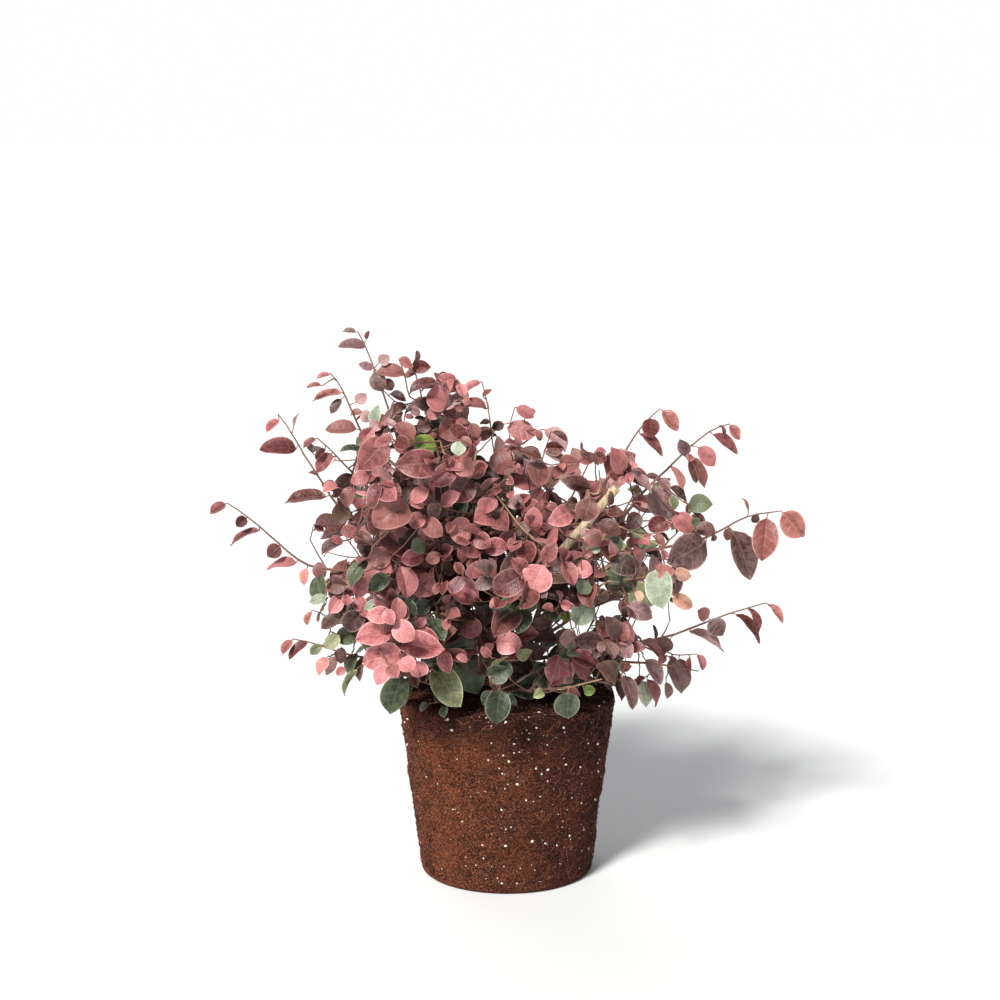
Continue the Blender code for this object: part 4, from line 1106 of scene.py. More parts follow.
def mesh_object(name, points, groups, material, uv=None, tone=None, slots=None, smooth=True):
    """An object from an array of points and arrays of faces, one for each number of corners."""
    mesh = bpy.data.meshes.new(name)
    corners = np.concatenate([group.ravel() for group in groups]).astype(np.int32)
    sizes = np.concatenate([np.full(len(group), group.shape[1]) for group in groups])
    starts = np.concatenate([[0], np.cumsum(sizes)[:-1]]).astype(np.int32)
    mesh.vertices.add(len(points))
    mesh.vertices.foreach_set("co", np.asarray(points, np.float32).ravel())
    mesh.loops.add(len(corners))
    mesh.loops.foreach_set("vertex_index", corners)
    mesh.polygons.add(len(starts))
    mesh.polygons.foreach_set("loop_start", starts)
    mesh.update(calc_edges=True)
    if uv is not None:
        layer = mesh.uv_layers.new(name="along")
        layer.uv.foreach_set("vector", np.asarray(uv, np.float32)[corners].ravel())
    if tone is not None:
        layer = mesh.attributes.new("tone", "FLOAT", "POINT")
        layer.data.foreach_set("value", np.asarray(tone, np.float32))
    for finish in material if isinstance(material, list) else [material]:
        mesh.materials.append(finish)
    if slots is not None:
        mesh.polygons.foreach_set("material_index", np.asarray(slots, np.int32))
    if smooth:
        mesh.shade_smooth()
        mesh.set_sharp_from_angle(angle=SHARP_ANGLE)
    mesh.validate()
    thing = bpy.data.objects.new(name, mesh)
    bpy.context.scene.collection.objects.link(thing)
    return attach(thing, "root")


def walls(index, after):
    """The faces between each row of a grid of points and the next, from each point to the one
    after it."""
    corners = index[..., :-1, :], after[..., :-1, :], after[..., 1:, :], index[..., 1:, :]
    return np.stack(corners, axis=-1).reshape(-1, 4)


def tubes(paths, radii, sides, relief=1.0):
    """Closed tubes round many paths of the same number of points. A ring's point is the path's
    point plus the radius times (cosine of the turn times one cross direction, plus its sine times
    the other). Relief is a factor on the radius for each path, point and side."""
    paths = np.asarray(paths)
    count, rings, _ = paths.shape
    ahead = unit(np.gradient(paths, axis=1))
    mean = unit(paths[:, -1] - paths[:, 0])
    least = np.eye(3)[np.argmin(np.abs(mean), axis=1)]
    across = unit(np.cross(ahead, least[:, None]))
    over = np.cross(ahead, across)
    turn = 2 * math.pi * np.arange(sides) / sides
    ring = np.cos(turn)[:, None] * across[:, :, None] + np.sin(turn)[:, None] * over[:, :, None]
    size = np.broadcast_to(radii[..., None] * relief, (count, rings, sides))
    points = paths[:, :, None] + ring * size[..., None]
    index = np.arange(count * rings * sides).reshape(count, rings, sides)
    ends = np.concatenate([index[:, 0, ::-1], index[:, -1]])
    along = np.broadcast_to(np.linspace(0, 1, rings)[:, None], (count, rings, sides))
    around = np.broadcast_to(np.arange(sides) / sides, (count, rings, sides))
    uv = np.stack([along, around], axis=-1).reshape(-1, 2)
    return points.reshape(-1, 3), [walls(index, np.roll(index, -1, axis=2)), ends], uv


def joined(parts):
    """Several surfaces as one set of points, faces and UV places."""
    offset = 0
    groups = {}
    for points, faces, _ in parts:
        for group in faces:
            groups.setdefault(group.shape[1], []).append(group + offset)
        offset += len(points)
    points = np.concatenate([part[0] for part in parts])
    uv = np.concatenate([part[2] for part in parts])
    return points, [np.concatenate(group) for group in groups.values()], uv


# Large odd numbers that scatter the places of a lattice
SCATTER = np.array((73856093, 19349663, 83492791))
SEED_SCATTER = 2654435761
MIXER = 1274126177
# Keeps the places of a lattice above zero
LATTICE_OFFSET = 1000.0


def lattice_noise(points, scale, seed):
    """Smooth noise from -1 to 1: random values on a cubic lattice, blended by the smoothstep of the
    place within the cell."""
    scaled = np.asarray(points) * scale + LATTICE_OFFSET
    cell = np.floor(scaled).astype(np.int64)
    share = scaled - cell
    share = share * share * (3 - 2 * share)
    total = 0.0
    for corner in range(8):
        step = np.array((corner & 1, corner >> 1 & 1, corner >> 2 & 1))
        key = ((cell + step) * SCATTER).sum(axis=-1) + seed * SEED_SCATTER
        key = (key ^ (key >> 13)) * MIXER & 0x7FFFFFFF
        key = (key ^ (key >> 16)) & 0xFFFFFF
        weight = np.where(step, share, 1 - share).prod(axis=-1)
        total = total + weight * (key / 0x7FFFFF - 1.0)
    return total


def turned(first, second, angle):
    """Two coordinates turned about their origin."""
    cos, sin = np.cos(angle), np.sin(angle)
    return first * cos - second * sin, first * sin + second * cos


def leaf_blades(leaves):
    """Closed leaf blades in their own outline. Along the blade t runs from 0 to 1 and across it s
    from -1 to 1. The half width is that of an egg drawn to a point: t to the power 0.62
    times the rest to the power 1.1. Each half rises from the midrib, is lifted between its
    veins, which slant to the tip, and the whole blade is bent along an arc, with its foot and its
    tip on the line that it heads along, and twisted."""
    t = np.linspace(0.0, 1.0, LEAF_ROWS + 1)[None, :, None]
    s = LEAF_COLUMNS[None, None, :]
    length, share, fold, curl, twist, tone = (
        leaves[name][:, None, None] for name in ("length", "wide", "fold", "curl", "twist", "tone")
    )
    wide = 0.5 * LEAF_WIDTH * share * (1 + TONE_WIDTH * tone)
    wide = wide * t**OUTLINE_FOOT * (1 - t) ** OUTLINE_TIP / OUTLINE_PEAK
    wide = np.maximum(wide, LEAST_HALF_WIDTH) * np.where(t == 1.0, TIP_POINT, 1.0)
    y = s * wide
    x = t + ROW_SLANT * np.sin(np.pi * t) * np.abs(s) + 0 * y
    between_veins = (np.arange(LEAF_ROWS + 1) % 2)[None, :, None]
    lift = VEIN_LIFT[0] + VEIN_LIFT[1] * between_veins
    lift = lift * np.sin(np.pi * t) * np.abs(s) * (1 - s * s)
    wave = EDGE_WAVE * np.sin(3 * np.pi * t + np.pi * tone) * s**3
    z = (LEAF_FOLD[0] + LEAF_FOLD[1] * fold) * np.abs(y) + lift + wave
    arc = LEAF_CURL[0] + LEAF_CURL[1] * curl
    bent = np.sin(arc * x) / arc + z * np.sin(arc * x)
    fall = -(1 - np.cos(arc * x)) / arc + z * np.cos(arc * x)
    bent, fall = turned(bent, fall, arc / 2)
    blade = np.stack([bent, *turned(y, fall, LEAF_TWIST * twist * t)], axis=-1)
    rib_rows = np.arange(0, LEAF_ROWS + 1, 2)
    ribs = blade[:, rib_rows, 2] - np.array((0.0, 0.0, LEAF_THICKNESS))
    local = np.concatenate([blade.reshape(len(blade), -1, 3), ribs], axis=1) * length
    heading, face = leaves["heading"], leaves["face"]
    axes = np.stack([heading, np.cross(face, heading), face], axis=1)
    points = np.einsum("lpi,lij->lpj", local, axes) + leaves["base"][:, None]
    faces, uv = leaf_pattern(rib_rows)
    count, size = points.shape[:2]
    starts = size * np.arange(count)[:, None, None]
    groups = [(group + starts).reshape(-1, group.shape[1]) for group in faces]
    slots = np.concatenate([np.full(len(group), place > 0) for place, group in enumerate(groups)])
    # The tone that the finishes read: random from leaf to leaf, and lowered inside the crown as
    # painted shade
    tones = np.repeat(0.5 + 0.5 * leaves["tone"], size)
    return points.reshape(-1, 3), groups, np.tile(uv, (count, 1)), tones, slots


def leaf_pattern(rib_rows):
    """The faces of one blade and the place of its points along and across it. The underside runs
    from each edge to a rib under the midrib, and a face closes the foot and the tip."""
    shape = (LEAF_ROWS + 1, len(LEAF_COLUMNS))
    grid = np.arange(shape[0] * shape[1]).reshape(shape)
    rib = grid.size + np.arange(len(rib_rows))
    upper = np.stack([grid[:-1, :-1], grid[1:, :-1], grid[1:, 1:], grid[:-1, 1:]], axis=-1)
    row = rib_rows[:-1]
    near = [rib[:-1], rib[1:], grid[row + 2, 0], grid[row + 1, 0], grid[row, 0]]
    far = [rib[1:], rib[:-1], grid[row, -1], grid[row + 1, -1], grid[row + 2, -1]]
    under = np.concatenate([np.stack(side, axis=-1) for side in (near, far)])
    ends = np.array([(*grid[0], rib[0]), (*grid[-1, ::-1], rib[-1])])
    lengths = np.linspace(0, 1, LEAF_ROWS + 1)
    along, across = np.meshgrid(lengths, 0.5 + 0.5 * LEAF_COLUMNS, indexing="ij")
    rib_uv = np.stack([rib_rows / LEAF_ROWS, np.full(len(rib_rows), 0.5)], axis=-1)
    uv = np.concatenate([np.stack([along, across], axis=-1).reshape(-1, 2), rib_uv])
    return [upper.reshape(-1, 4), under, ends], uv


def ball_outline():
    """Radius and height along the ball's outline, from the middle of the underside round the foot,
    up the side, over the rim and to the middle of the top."""
    foot = np.array((BALL_BASE_RADIUS, 0.0))
    rim = np.array((BALL_TOP_RADIUS, BALL_HEIGHT))
    side = unit(rim - foot)
    inward = np.array((1.0, 0.0))
    foot_edge = Bend(foot - BALL_FOOT_EDGE * inward, foot, foot + BALL_FOOT_EDGE * side)
    rim_edge = Bend(rim - BALL_EDGE * side, rim, rim - BALL_EDGE * inward)
    ends = np.array((0.0, 0.0)), np.array((0.0, BALL_HEIGHT))
    return Run([ends[0], *foot_edge.part(0, 1, 7), *rim_edge.part(0, 1, 7), ends[1]])


def ball_surface(turn, along):
    """The ball's surface at a turn about its axis and a length along its outline: the outline's
    point moved out by lumps, by strands that lie round the ball and by crumbs, less near the
    underside, which stays flat. Returns the points and the outward directions."""
    outline = ball_outline()
    radius, height = outline.at(along)
    steps = (-OUTLINE_STEP, OUTLINE_STEP)
    before, after = (outline.at(np.clip(along + step, 0, outline.length)) for step in steps)
    run = unit(np.moveaxis(after - before, 0, -1))
    cos, sin = np.cos(turn), np.sin(turn)
    outward = np.stack([run[..., 1] * cos, run[..., 1] * sin, -run[..., 0]], axis=-1)
    points = np.stack([radius * cos, radius * sin, height + 0 * turn], axis=-1)
    flattened = points * np.array((1.0, 1.0, STRAND_FLATNESS))
    move = LUMPS * lattice_noise(points, scale=26, seed=1)
    move = move + STRANDS * lattice_noise(flattened, scale=95, seed=2)
    move = move + CRUMBS * lattice_noise(flattened, scale=260, seed=3) - BALL_SUNK
    free = np.clip(height / FLAT_BELOW, 0, 1)
    return points + (move * free)[..., None] * outward, outward


def ball_mesh(columns, rows):
    """The ball's surface on a grid of turns and of lengths along the outline, closed by one point
    in the middle of the underside and one in the middle of the top."""
    length = ball_outline().length
    along = np.linspace(0, length, rows + 2)[1:-1, None]
    turn = 2 * np.pi * np.arange(columns)[None] / columns
    ring, _ = ball_surface(turn + 0 * along, along + 0 * turn)
    ends, _ = ball_surface(np.zeros(2), np.array((0.0, length)))
    ends[0, 2] = 0.0
    points = np.concatenate([ring.reshape(-1, 3), ends])
    index = np.arange(rows * columns).reshape(rows, columns)
    after = np.roll(index, -1, axis=1)
    bottom = np.stack([after[0], index[0], np.full(columns, index.size)], axis=-1)
    top = np.stack([index[-1], after[-1], np.full(columns, index.size + 1)], axis=-1)
    return points, [walls(index, after), np.concatenate([bottom, top])]


def root_fibres(count, radii, seed):
    """Fine roots on the ball: each wanders over its surface, more round it than down it, and lies
    half sunk in it."""
    draw = np.random.default_rng(seed)
    length = ball_outline().length
    foot = BALL_BASE_RADIUS + BARE_FOOT
    along = draw.uniform(foot, length - BARE_TOP, (count, 1))
    turn = draw.uniform(0, 2 * np.pi, (count, 1))
    slope = draw.normal(0, FIBRE_SLOPE, (count, 1))
    slope = slope + np.cumsum(draw.normal(0, FIBRE_WANDER, (count, FIBRE_POINTS)), axis=1)
    pace = draw.uniform(*FIBRE_PACE, (count, 1))
    pace = pace * np.where(draw.random((count, 1)) < 0.5, -1, 1)
    turn = turn + np.cumsum(pace * np.cos(slope), axis=1) / BALL_TOP_RADIUS
    along = along + np.cumsum(np.abs(pace) * np.sin(slope), axis=1)
    along = np.clip(foot + np.abs(along - foot), foot, length)
    points, outward = ball_surface(turn, along)
    arch = np.sin(np.linspace(0, np.pi, FIBRE_POINTS)) * draw.uniform(0.0, FIBRE_ARCH, (count, 1))
    points = points + outward * (arch + FIBRE_CLEAR)[..., None]
    thinning = 1 - FIBRE_THINNING * np.linspace(0, 1, FIBRE_POINTS)
    return tubes(points, draw.uniform(*radii, (count, 1)) * thinning, sides=3)


# A grain: the points over the faces of a cube, then its corners
CHIP = np.array(
    [(1, 0, 0), (-1, 0, 0), (0, 1, 0), (0, -1, 0), (0, 0, 1), (0, 0, -1)]
    + [(x, y, z) for x in (-0.62, 0.62) for y in (-0.62, 0.62) for z in (-0.62, 0.62)]
)


def chip_faces():
    """The 24 outward triangles, each from two corners of a cube's face to the point over it."""
    faces = []
    for pole in range(6):
        axis, along = CHIP[pole], CHIP[(pole + 2) % 6]
        over = np.cross(axis, along)
        turns = {
            number: math.atan2(CHIP[number] @ over, CHIP[number] @ along)
            for number in range(6, 14)
            if CHIP[number] @ axis > 0
        }
        loop = sorted(turns, key=turns.get)
        for first, second in zip(loop, loop[1:] + loop[:1]):
            normal = np.cross(CHIP[first] - axis, CHIP[second] - axis)
            faces.append((pole, first, second) if normal @ axis > 0 else (pole, second, first))
    return np.array(faces)


def chips(places, outward, sizes, seed):
    """Many small broken grains, each a cube with a point over each face, stretched and with its
    points moved at random, half sunk at its place."""
    draw = np.random.default_rng(seed)
    count = len(places)
    shape = CHIP * draw.uniform(*CHIP_STRETCH, (count, 1, 3))
    shape = shape * draw.uniform(*CHIP_WEAR, (count, len(CHIP), 1))
    turns = np.linalg.qr(draw.normal(size=(count, 3, 3)))[0]
    turns *= np.linalg.det(turns)[:, None, None]
    points = np.einsum("npi,nij->npj", shape, turns) * sizes[:, None, None]
    points = points + places[:, None] + CHIP_OUT * (sizes[:, None] * outward)[:, None]
    faces = (chip_faces() + len(CHIP) * np.arange(count)[:, None, None]).reshape(-1, 3)
    return points.reshape(-1, 3), [faces]


# ---- finishes ----


class Signal:
    """A number, a colour or a vector on its way through a material's nodes."""

    def __init__(self, tree, socket):
        self.tree, self.socket = tree, socket

    def node(self, kind, settings=None, values=None, output=0):
        """A node of any other kind, with its settings and the values of its sockets."""
        made = self.tree.nodes.new("ShaderNode" + kind)
        for name, value in (settings or {}).items():
            setattr(made, name, value)
        for name, value in (values or {}).items():
            self.put(made.inputs[name], value)
        return Signal(self.tree, made.outputs[output])

    def put(self, socket, value):
        if isinstance(value, Signal):
            self.tree.links.new(value.socket, socket)
        else:
            socket.default_value = value

    def math(self, operation, first, second=0.0, clamp=False):
        settings = {"operation": operation, "use_clamp": clamp}
        return self.node("Math", settings, {0: first, 1: second})

    def __add__(self, other):
        return self.math("ADD", self, other)

    def __radd__(self, other):
        return self.math("ADD", other, self)

    def __sub__(self, other):
        return self.math("SUBTRACT", self, other)

    def __rsub__(self, other):
        return self.math("SUBTRACT", other, self)

    def __mul__(self, other):
        return self.math("MULTIPLY", self, other)

    def __rmul__(self, other):
        return self.math("MULTIPLY", other, self)

    def size(self):
        return self.math("ABSOLUTE", self)

    def fraction(self):
        return self.math("FRACT", self)

    def held(self):
        """Kept from 0 to 1."""
        return self.math("ADD", self, 0.0, clamp=True)

    def rise(self, low, high):
        """0 below low, 1 above high and smooth between. With low over high it falls."""
        settings = {"interpolation_type": "SMOOTHSTEP"}
        return self.node("MapRange", settings, {"Value": self, "From Min": low, "From Max": high})

    def teeth(self):
        """Falls from 1 at whole numbers to 0 halfway between them."""
        return (self.fraction() - 0.5).size() * 2.0

    def blend(self, under, over):
        """The under colour where this is 0 and the over colour where it is 1."""
        return self.node("Mix", {"data_type": "RGBA"}, {0: self, 6: under, 7: over}, output=2)

    def tinted(self, dark, light):
        """From the dark colour at 0 to the light one at 1, both as read from a screen."""
        return self.held().blend(colour(*dark), colour(*light))

    def stretched(self, factors):
        return self.node("VectorMath", {"operation": "MULTIPLY"}, {0: self, 1: factors})

    def noise(self, scale, detail=2.0, roughness=0.5):
        values = {"Vector": self, "Scale": scale, "Detail": detail, "Roughness": roughness}
        return self.node("TexNoise", None, values)

    def axis(self, number):
        return self.node("SeparateXYZ", None, {0: self}, output=number)


def colour(red, green, blue):
    """A colour as read from a screen, from 0 to 255, in the shader's linear values."""
    shares = np.array((red, green, blue)) / 255
    linear = np.where(shares > 0.04045, ((shares + 0.055) / 1.055) ** 2.4, shares / 12.92)
    return (*linear.tolist(), 1.0)


def new_finish(name, shine=PLAIN_SHINE):
    """A material, its surface shader, and the place on the object as a signal."""
    finish = bpy.data.materials.new(name)
    finish.use_nodes = True
    tree = finish.node_tree
    place = Signal(tree, tree.nodes.new("ShaderNodeTexCoord").outputs["Object"])
    surface = tree.nodes["Principled BSDF"]
    surface.inputs["Specular IOR Level"].default_value = shine
    return finish, surface, place


def give(surface, place, shade, roughness, height=None, depth=0.0005, strength=1.0):
    """Feeds the surface shader its colour, roughness and bump."""
    place.put(surface.inputs["Base Color"], shade)
    place.put(surface.inputs["Roughness"], roughness)
    if height is not None:
        bump = place.node("Bump", None, {"Height": height, "Distance": depth, "Strength": strength})
        place.put(surface.inputs["Normal"], bump)


def on_blade(place, slant, edge):
    """The place along a leaf, the distance from its midrib, its tone, and its five side veins,
    which slant to the tip and are full up to the edge value."""
    blade = place.node("UVMap", {"uv_map": "along"})
    along, across = blade.axis(0), (blade.axis(1) - 0.5).size() * 2.0
    tone = place.node("Attribute", {"attribute_name": "tone"}, output=2)
    side_veins = ((along - across * slant) * 5.0 + 0.5).teeth().rise(0.30, edge)
    return along, across, tone, side_veins


def leaf_finish(name, dark, light, vein, faded):
    """The upper side of a leaf: its tint shifts from leaf to leaf and in soft patches, and its
    older parts fade to green; the tone of leaves inside the crown is lowered as painted shade. It
    is quilted between the sunk, paler veins, and the raised quilting is painted lighter as a sheen.
    A thin pale line runs round the margin, partly the leaf's own pale edge and partly a painted
    edge highlight."""
    finish, surface, place = new_finish(name, LEAF_SHINE)
    along, across, tone, side_veins = on_blade(place, 0.07, 0.02)
    patches = place.noise(130.0, 3.0)
    quilt_and_sheen = place.noise(480.0, 2.0, 0.6)
    veins = (side_veins * 0.55 + across.rise(0.12, 0.02)).held()
    # Painted shade and sheen: the tone is lowered inside the crown, and the quilting noise that
    # raises the blade also lightens it
    shade = (tone * 1.05 + patches * 1.5 + quilt_and_sheen + across * 0.35 - 1.44).tinted(dark, light)
    fade = place.noise(38.0, 2.0).rise(0.50, 0.68) * (1.0 - along * 0.7)
    shade = (fade * faded).blend(shade, (patches + 0.1).tinted((56, 56, 36), (120, 117, 88)))
    shade = (veins * 0.16).blend(shade, colour(*vein))
    # A pale line along the margin: partly the leaf's own pale edge, partly a painted edge highlight
    shade = (across.rise(0.86, 1.0) * 0.6).blend(shade, colour(*vein))
    height = 1.0 - veins * 0.5 + quilt_and_sheen * 0.9
    give(surface, place, shade, patches * 0.22 + 0.28, height, 0.0010, 0.6)
    return finish


def underside_finish(name, dark, light, vein):
    """The underside of a leaf: paler, matt, with raised veins."""
    finish, surface, place = new_finish(name, MATT_SHINE)
    _, across, tone, side_veins = on_blade(place, 0.10, 0.05)
    patches = place.noise(170.0, 3.0)
    veins = (side_veins * 0.6 + across.rise(0.14, 0.03)).held()
    # The tone, lowered on leaves inside the crown, is painted shade here too
    shade = (tone * 0.6 + patches * 0.8 - 0.2).tinted(dark, light)
    shade = (veins * 0.55).blend(shade, colour(*vein))
    height = veins + place.noise(800.0) * 0.3
    give(surface, place, shade, patches * 0.2 + 0.55, height, 0.0006, 0.5)
    return finish


def stem_finish(name, dark, light, dull=0.43):
    """Young bark: long soft streaks and a fine grain."""
    finish, surface, place = new_finish(name, MATT_SHINE)
    streaks = place.stretched((1.0, 1.0, 0.35)).noise(420.0, 4.0, 0.6)
    patches = place.noise(28.0, 3.0)
    shade = (streaks * 0.8 + patches * 0.9 - 0.35).tinted(dark, light)
    give(surface, place, shade, streaks * 0.25 + dull, streaks, 0.0006, 0.6)
    return finish


def bark_finish(name, dark, light, scar):
    """Older bark: fissured lengthways, with paler flakes and small raised pores."""
    finish, surface, place = new_finish(name)
    long_grain = place.stretched((1.0, 1.0, 0.28))
    fissures = long_grain.noise(260.0, 6.0, 0.65)
    flakes = long_grain.noise(75.0, 4.0, 0.6).rise(0.46, 0.66)
    pores = place.node("TexVoronoi", None, {"Vector": place, "Scale": 330.0}).rise(0.28, 0.12)
    shade = fissures.rise(0.36, 0.62).blend(colour(*dark), colour(*light))
    shade = (flakes * 0.55 + pores * 0.25).held().blend(shade, colour(*scar))
    height = fissures + flakes * 0.5 + pores * 0.25
    give(surface, place, shade, 0.72 + fissures * 0.2, height, 0.0012, 0.8)
    return finish


def cut_finish():
    """The sawn end: growth rings about the limb's end point, with a darker heart."""
    finish, surface, place = new_finish("sawn wood")
    ends = {0: place, 1: SAWN_END}
    from_heart = place.node("VectorMath", {"operation": "DISTANCE"}, ends, output=1)
    wobble = place.noise(240.0, 3.0)
    rings = (from_heart * 1900.0 + wobble * 1.2).teeth()
    shade = (rings * 0.6 + wobble * 0.3).tinted((186, 152, 116), (224, 202, 172))
    shade = from_heart.rise(0.0016, 0.0006).blend(shade, colour(132, 98, 70))
    give(surface, place, shade, 0.75 + wobble * 0.1, rings, 0.0003, 0.5)
    return finish


def ball_finish():
    """Packed soil and felted roots: orange brown on the left and darker purple brown on the right,
    partly the soil's own hue and partly painted shade away from the key lamp, dark near the top,
    with matted strands that lie round the ball."""
    finish, surface, place = new_finish("root felt", SOIL_SHINE)
    wide = place.noise(9.0, 3.0)
    strands = place.stretched((1.0, 1.0, 2.2)).noise(380.0, 4.0, 0.65)
    grains = place.noise(560.0, 4.0, 0.72)
    # From left to right the soil turns from orange brown to a darker purple brown, and its orange
    # patches and pale strands darken: partly its own hue, partly painted shade
    shade_and_hue_to_right = (place.axis(0) * 4.5 + 0.62 + (wide - 0.5) * 0.7).held()
    ground = shade_and_hue_to_right.blend(colour(70, 35, 26), colour(38, 21, 19))
    rust = place.noise(22.0, 3.0).rise(0.44, 0.66) * (1.0 - shade_and_hue_to_right * 0.7)
    ground = (rust * 0.6).blend(ground, colour(118, 62, 36))
    pale = shade_and_hue_to_right.blend(colour(182, 110, 80), colour(114, 68, 56))
    shade = strands.rise(0.46, 0.64) * 0.5 + grains.rise(0.50, 0.66) * 0.7
    shade = shade.held().blend(ground, pale)
    shade = (grains.rise(0.50, 0.38) * 0.9).blend(shade, colour(22, 12, 9))
    top = (place.axis(2) + (wide - 0.5) * 0.07 + place.axis(0) * 0.22).rise(0.162, 0.222)
    shade = (top * 0.75).blend(shade, colour(26, 16, 14))
    give(surface, place, shade, 0.9, strands * 0.6 + grains, 0.0022, 0.9)
    return finish


def grit_finish(name, dark, light):
    """Small pale grains with soil in their pores."""
    finish, surface, place = new_finish(name)
    pits = place.noise(1300.0, 3.0, 0.6)
    stain = place.noise(160.0, 2.0)
    shade = (pits * 0.7 + stain * 0.8 - 0.25).tinted(dark, light)
    give(surface, place, shade, 0.8 + pits * 0.1, pits, 0.0006, 0.7)
    return finish


# ---- pieces ----


def place_leaves(leaves, owners):
    """One piece for each tint. It stands for the masses that it has leaves in."""
    for number, tint in enumerate(TINTS):
        chosen = leaves["tint"] == number
        if not chosen.any():
            continue
        dark, light, vein, under_dark, under_light = LEAF_COLOURS[tint]
        upper = leaf_finish(tint + " leaf", dark, light, vein, FADED.get(tint, 0.0))
        under = underside_finish(tint + " leaf underside", under_dark, under_light, light)
        part = {name: column[chosen] for name, column in leaves.items()}
        points, groups, uv, tone, slots = leaf_blades(part)
        piece = mesh_object(tint + "_leaf_blades", points, groups, [upper, under], uv, tone, slots)
        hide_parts(*sorted({"foliage_" + SHOOTS[owner].name for owner in owners[chosen]}))


def place_stalks(leaves):
    """A short stalk from the twig to each blade, bent a little."""
    start, end = leaves["place"], leaves["base"]
    length = leaves["length"][:, None]
    under = STALK_UNDER * length * leaves["heading"] - STALK_SUNK * length * leaves["face"]
    middle = (start + end) / 2 + STALK_RISE * length * UP
    paths = np.stack([start, middle, end, end + under], axis=1)
    radii = np.broadcast_to(np.linspace(*STALK_RADII, paths.shape[1]), paths.shape[:2])
    points, groups, uv = tubes(paths, radii, STALK_SIDES)
    finish = stem_finish("leaf stalk", (120, 62, 56), (176, 112, 96))
    piece = mesh_object("leaf_stalks", points, groups, finish, uv)


def twig_tubes(chosen, sides, foot_share=1.0, tip_share=1.0):
    """Tubes of the same number of points, thinner towards their tips."""
    shares = ((foot_share * tube.foot, tip_share * tube.tip) for tube in chosen)
    radii = np.stack([np.linspace(*ends, len(chosen[0].points)) for ends in shares])
    return tubes(np.stack([tube.points for tube in chosen]), radii, sides)


def place_twigs(sprays):
    """The stems and twigs of the sprays, and the pale bare twigs."""
    parts = []
    for count, sides in ((TWIG_POINTS, TWIG_SIDES), (STEM_POINTS, STEM_SIDES)):
        chosen = [tube for spray in sprays for tube in spray.tubes if len(tube.points) == count]
        parts.append(twig_tubes(chosen, sides))
    points, groups, uv = joined(parts)
    finish = stem_finish("young stem", (74, 50, 46), (150, 112, 98))
    piece = mesh_object("stems_and_twigs", points, groups, finish, uv)
    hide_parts(*("foliage_" + shoot.name for shoot in SHOOTS))
    pale = [tube for spray in sprays for tube in spray.pale_tubes]
    points, groups, uv = twig_tubes(pale, PALE_TWIG_SIDES, *PALE_TWIG_SHARES)
    finish = stem_finish("pale twig", (150, 112, 84), (208, 176, 142))
    piece = mesh_object("pale_twigs", points, groups, finish, uv)


def bark_tube(path, radii, sides, lumps, seed):
    """One limb with its bark: lengthways ridges and lumps on its radius."""
    turn = 2 * np.pi * np.arange(sides)[None] / sides
    rise = np.linalg.norm(np.diff(path, axis=0, prepend=path[:1]), axis=1).cumsum()[:, None]
    around = np.broadcast_arrays(np.cos(turn), np.sin(turn), rise * BARK_PACE)
    around = np.stack(around, axis=-1)
    ridges = 1 - 2 * np.abs(lattice_noise(around * RIDGE_SCALE, 1.0, seed))
    knots = lattice_noise(around * KNOT_SCALE, 1.0, seed + 7)
    relief = 1 + lumps * (RIDGE_SHARE * ridges + knots)
    return tubes(path[None], radii[None], sides, relief[None])


def place_bark(curves):
    """The stem, the boughs and the sawn limb, with the relief of their bark."""
    shares = np.linspace(0, 1, LIMB_RINGS)
    path = curves["trunk"].at(shares[:, None])
    path[0, 2] -= TRUNK_SUNK
    points, groups, uv = bark_tube(path, trunk_radius(shares), sides=48, lumps=0.10, seed=11)
    finish = bark_finish("stem bark", (70, 50, 40), (128, 98, 78), (168, 142, 116))
    piece = mesh_object("stem_bark", points, groups, finish, uv)
    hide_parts("trunk")
    boughs = []
    for number, shoot in enumerate(SHOOTS):
        if shoot.bare:
            path = curves[shoot.name].part(0.0, shoot.bare + BOUGH_OVERLAP, LIMB_RINGS)
            radii = np.linspace(*bough_radii(shoot), LIMB_RINGS)
            boughs.append(bark_tube(path, radii, sides=20, lumps=0.09, seed=20 + number))
    points, groups, uv = joined(boughs)
    finish = bark_finish("bough bark", (88, 62, 48), (158, 120, 92), (196, 166, 134))
    piece = mesh_object("bough_bark", points, groups, finish, uv)
    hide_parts(*("bough_" + shoot.name for shoot in SHOOTS if shoot.bare))
    path = sawn_limb_curve(curves).part(0.0, 1.0, SAWN_RINGS)
    radii = np.full(SAWN_RINGS, SAWN_RADIUS)
    points, groups, uv = bark_tube(path, radii, sides=28, lumps=0.05, seed=90)
    slots = np.concatenate([np.zeros(len(groups[0])), (0, 1)])
    finish = bark_finish("pale bark", (150, 122, 92), (214, 190, 156), (232, 214, 186))
    piece = mesh_object("sawn_limb_bark", points, groups, [finish, cut_finish()], uv, slots=slots)
    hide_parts("sawn_limb")


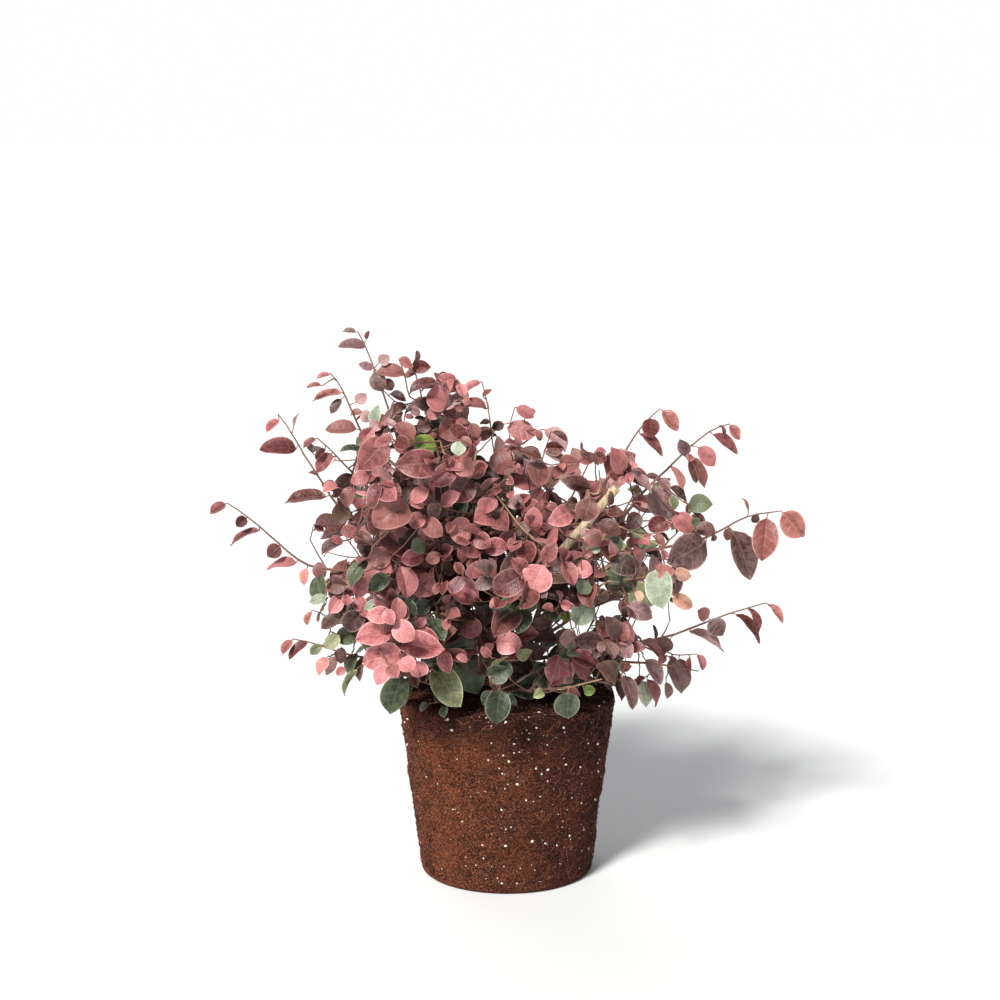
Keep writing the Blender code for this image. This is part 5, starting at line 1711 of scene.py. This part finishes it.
def place_root_ball():
    """The ball with its felt of fine roots, its grit and its crumbs of soil."""
    points, groups = ball_mesh(BALL_COLUMNS, BALL_ROWS)
    piece = mesh_object("root_ball_felt", points, groups, ball_finish())
    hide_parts("root_ball")
    for name, count, radii, seed, shades in (
        ("pale_root_fibres", 3600, (0.00010, 0.00026), 5, ((96, 50, 36), (162, 98, 70))),
        ("brown_root_fibres", 4400, (0.00018, 0.00045), 6, ((28, 15, 12), (78, 42, 31))),
    ):
        points, groups, uv = root_fibres(count, radii, seed)
        finish = stem_finish(name.replace("_", " "), *shades, dull=0.68)
        piece = mesh_object(name, points, groups, finish, uv)
    draw = np.random.default_rng(GRIT_SEED)
    length = ball_outline().length
    for name, count, (least, most), bare_top, shades in (
        ("white_grit", 420, (0.0004, 0.0021), BARE_TOP, ((186, 168, 156), (240, 234, 226))),
        ("soil_crumbs", 3000, (0.0005, 0.0017), 0.02, ((34, 23, 19), (112, 74, 56))),
    ):
        turn = draw.uniform(0, 2 * np.pi, count)
        if name == "white_grit":
            turn = np.where(np.arange(count) % 3, turn, draw.normal(*GRIT_CLUSTER, count))
        along = draw.uniform(BALL_BASE_RADIUS + 2 * BARE_FOOT, length - bare_top, count)
        places, outward = ball_surface(turn, along)
        size = least + (most - least) * draw.random(count) ** MOSTLY_SMALL
        points, groups = chips(places, outward, size, CHIP_SEED)
        finish = grit_finish(name.replace("_", " "), *shades)
        piece = mesh_object(name, points, groups, finish, smooth=False)


def place_floor():
    """A pale floor, wide enough to reach the horizon."""
    turn = 2 * np.pi * np.arange(FLOOR_CORNERS) / FLOOR_CORNERS
    rim = np.stack([FLOOR_RADIUS * np.cos(turn), FLOOR_RADIUS * np.sin(turn), 0 * turn], axis=-1)
    mesh = bpy.data.meshes.new("floor")
    mesh.from_pydata(rim.tolist(), [], [list(range(FLOOR_CORNERS))])
    finish, surface, place = new_finish("pale floor")
    shade = place.noise(3.0, 2.0).blend(colour(226, 227, 228), colour(230, 231, 232))
    give(surface, place, shade, 0.9)
    mesh.materials.append(finish)
    floor = bpy.data.objects.new("floor", mesh)
    bpy.context.scene.collection.objects.link(floor)


def place_lamp(name, direction, spread, power, warmth):
    """A wide soft lamp, far off. Its spread is in degrees."""
    lamp = bpy.data.lights.new(name, "SUN")
    lamp.angle, lamp.energy, lamp.color = math.radians(spread), power, warmth
    holder = bpy.data.objects.new(name, lamp)
    holder.rotation_euler = mathutils.Vector(direction).to_track_quat("Z", "Y").to_euler()
    bpy.context.scene.collection.objects.link(holder)


def place_view():
    """The camera, at the photograph's angle, and the studio light. The camera sees a white
    surround, which lights the plant only a little."""
    camera = bpy.data.cameras.new("camera")
    camera.lens, camera.sensor_width = VIEW_LENS, SENSOR
    holder = bpy.data.objects.new("camera", camera)
    holder.location = VIEW_PLACE
    holder.rotation_euler = (math.pi / 2 - VIEW_ELEVATION, 0.0, 0.0)
    bpy.context.scene.collection.objects.link(holder)
    bpy.context.scene.camera = holder
    for lamp in LAMPS:
        place_lamp(*lamp)
    world = bpy.data.worlds.new("studio")
    world.use_nodes = True
    sky = Signal(world.node_tree, None)
    seen = sky.node("Background", None, {"Color": (0.99, 0.99, 0.99, 1.0), "Strength": 1.0})
    light = sky.node("Background", None, {"Color": (0.97, 0.98, 1.0, 1.0), "Strength": SKY_POWER})
    both = sky.node("MixShader", None, {0: sky.node("LightPath"), 1: light, 2: seen})
    sky.put(world.node_tree.nodes["World Output"].inputs["Surface"], both)
    bpy.context.scene.world = world
    bpy.context.scene.view_settings.view_transform = "Standard"


curves, sprays, leaves, owners = grown()
place_root_ball()
place_bark(curves)
place_twigs(sprays)
place_stalks(leaves)
place_leaves(leaves, owners)
place_floor()
place_view()
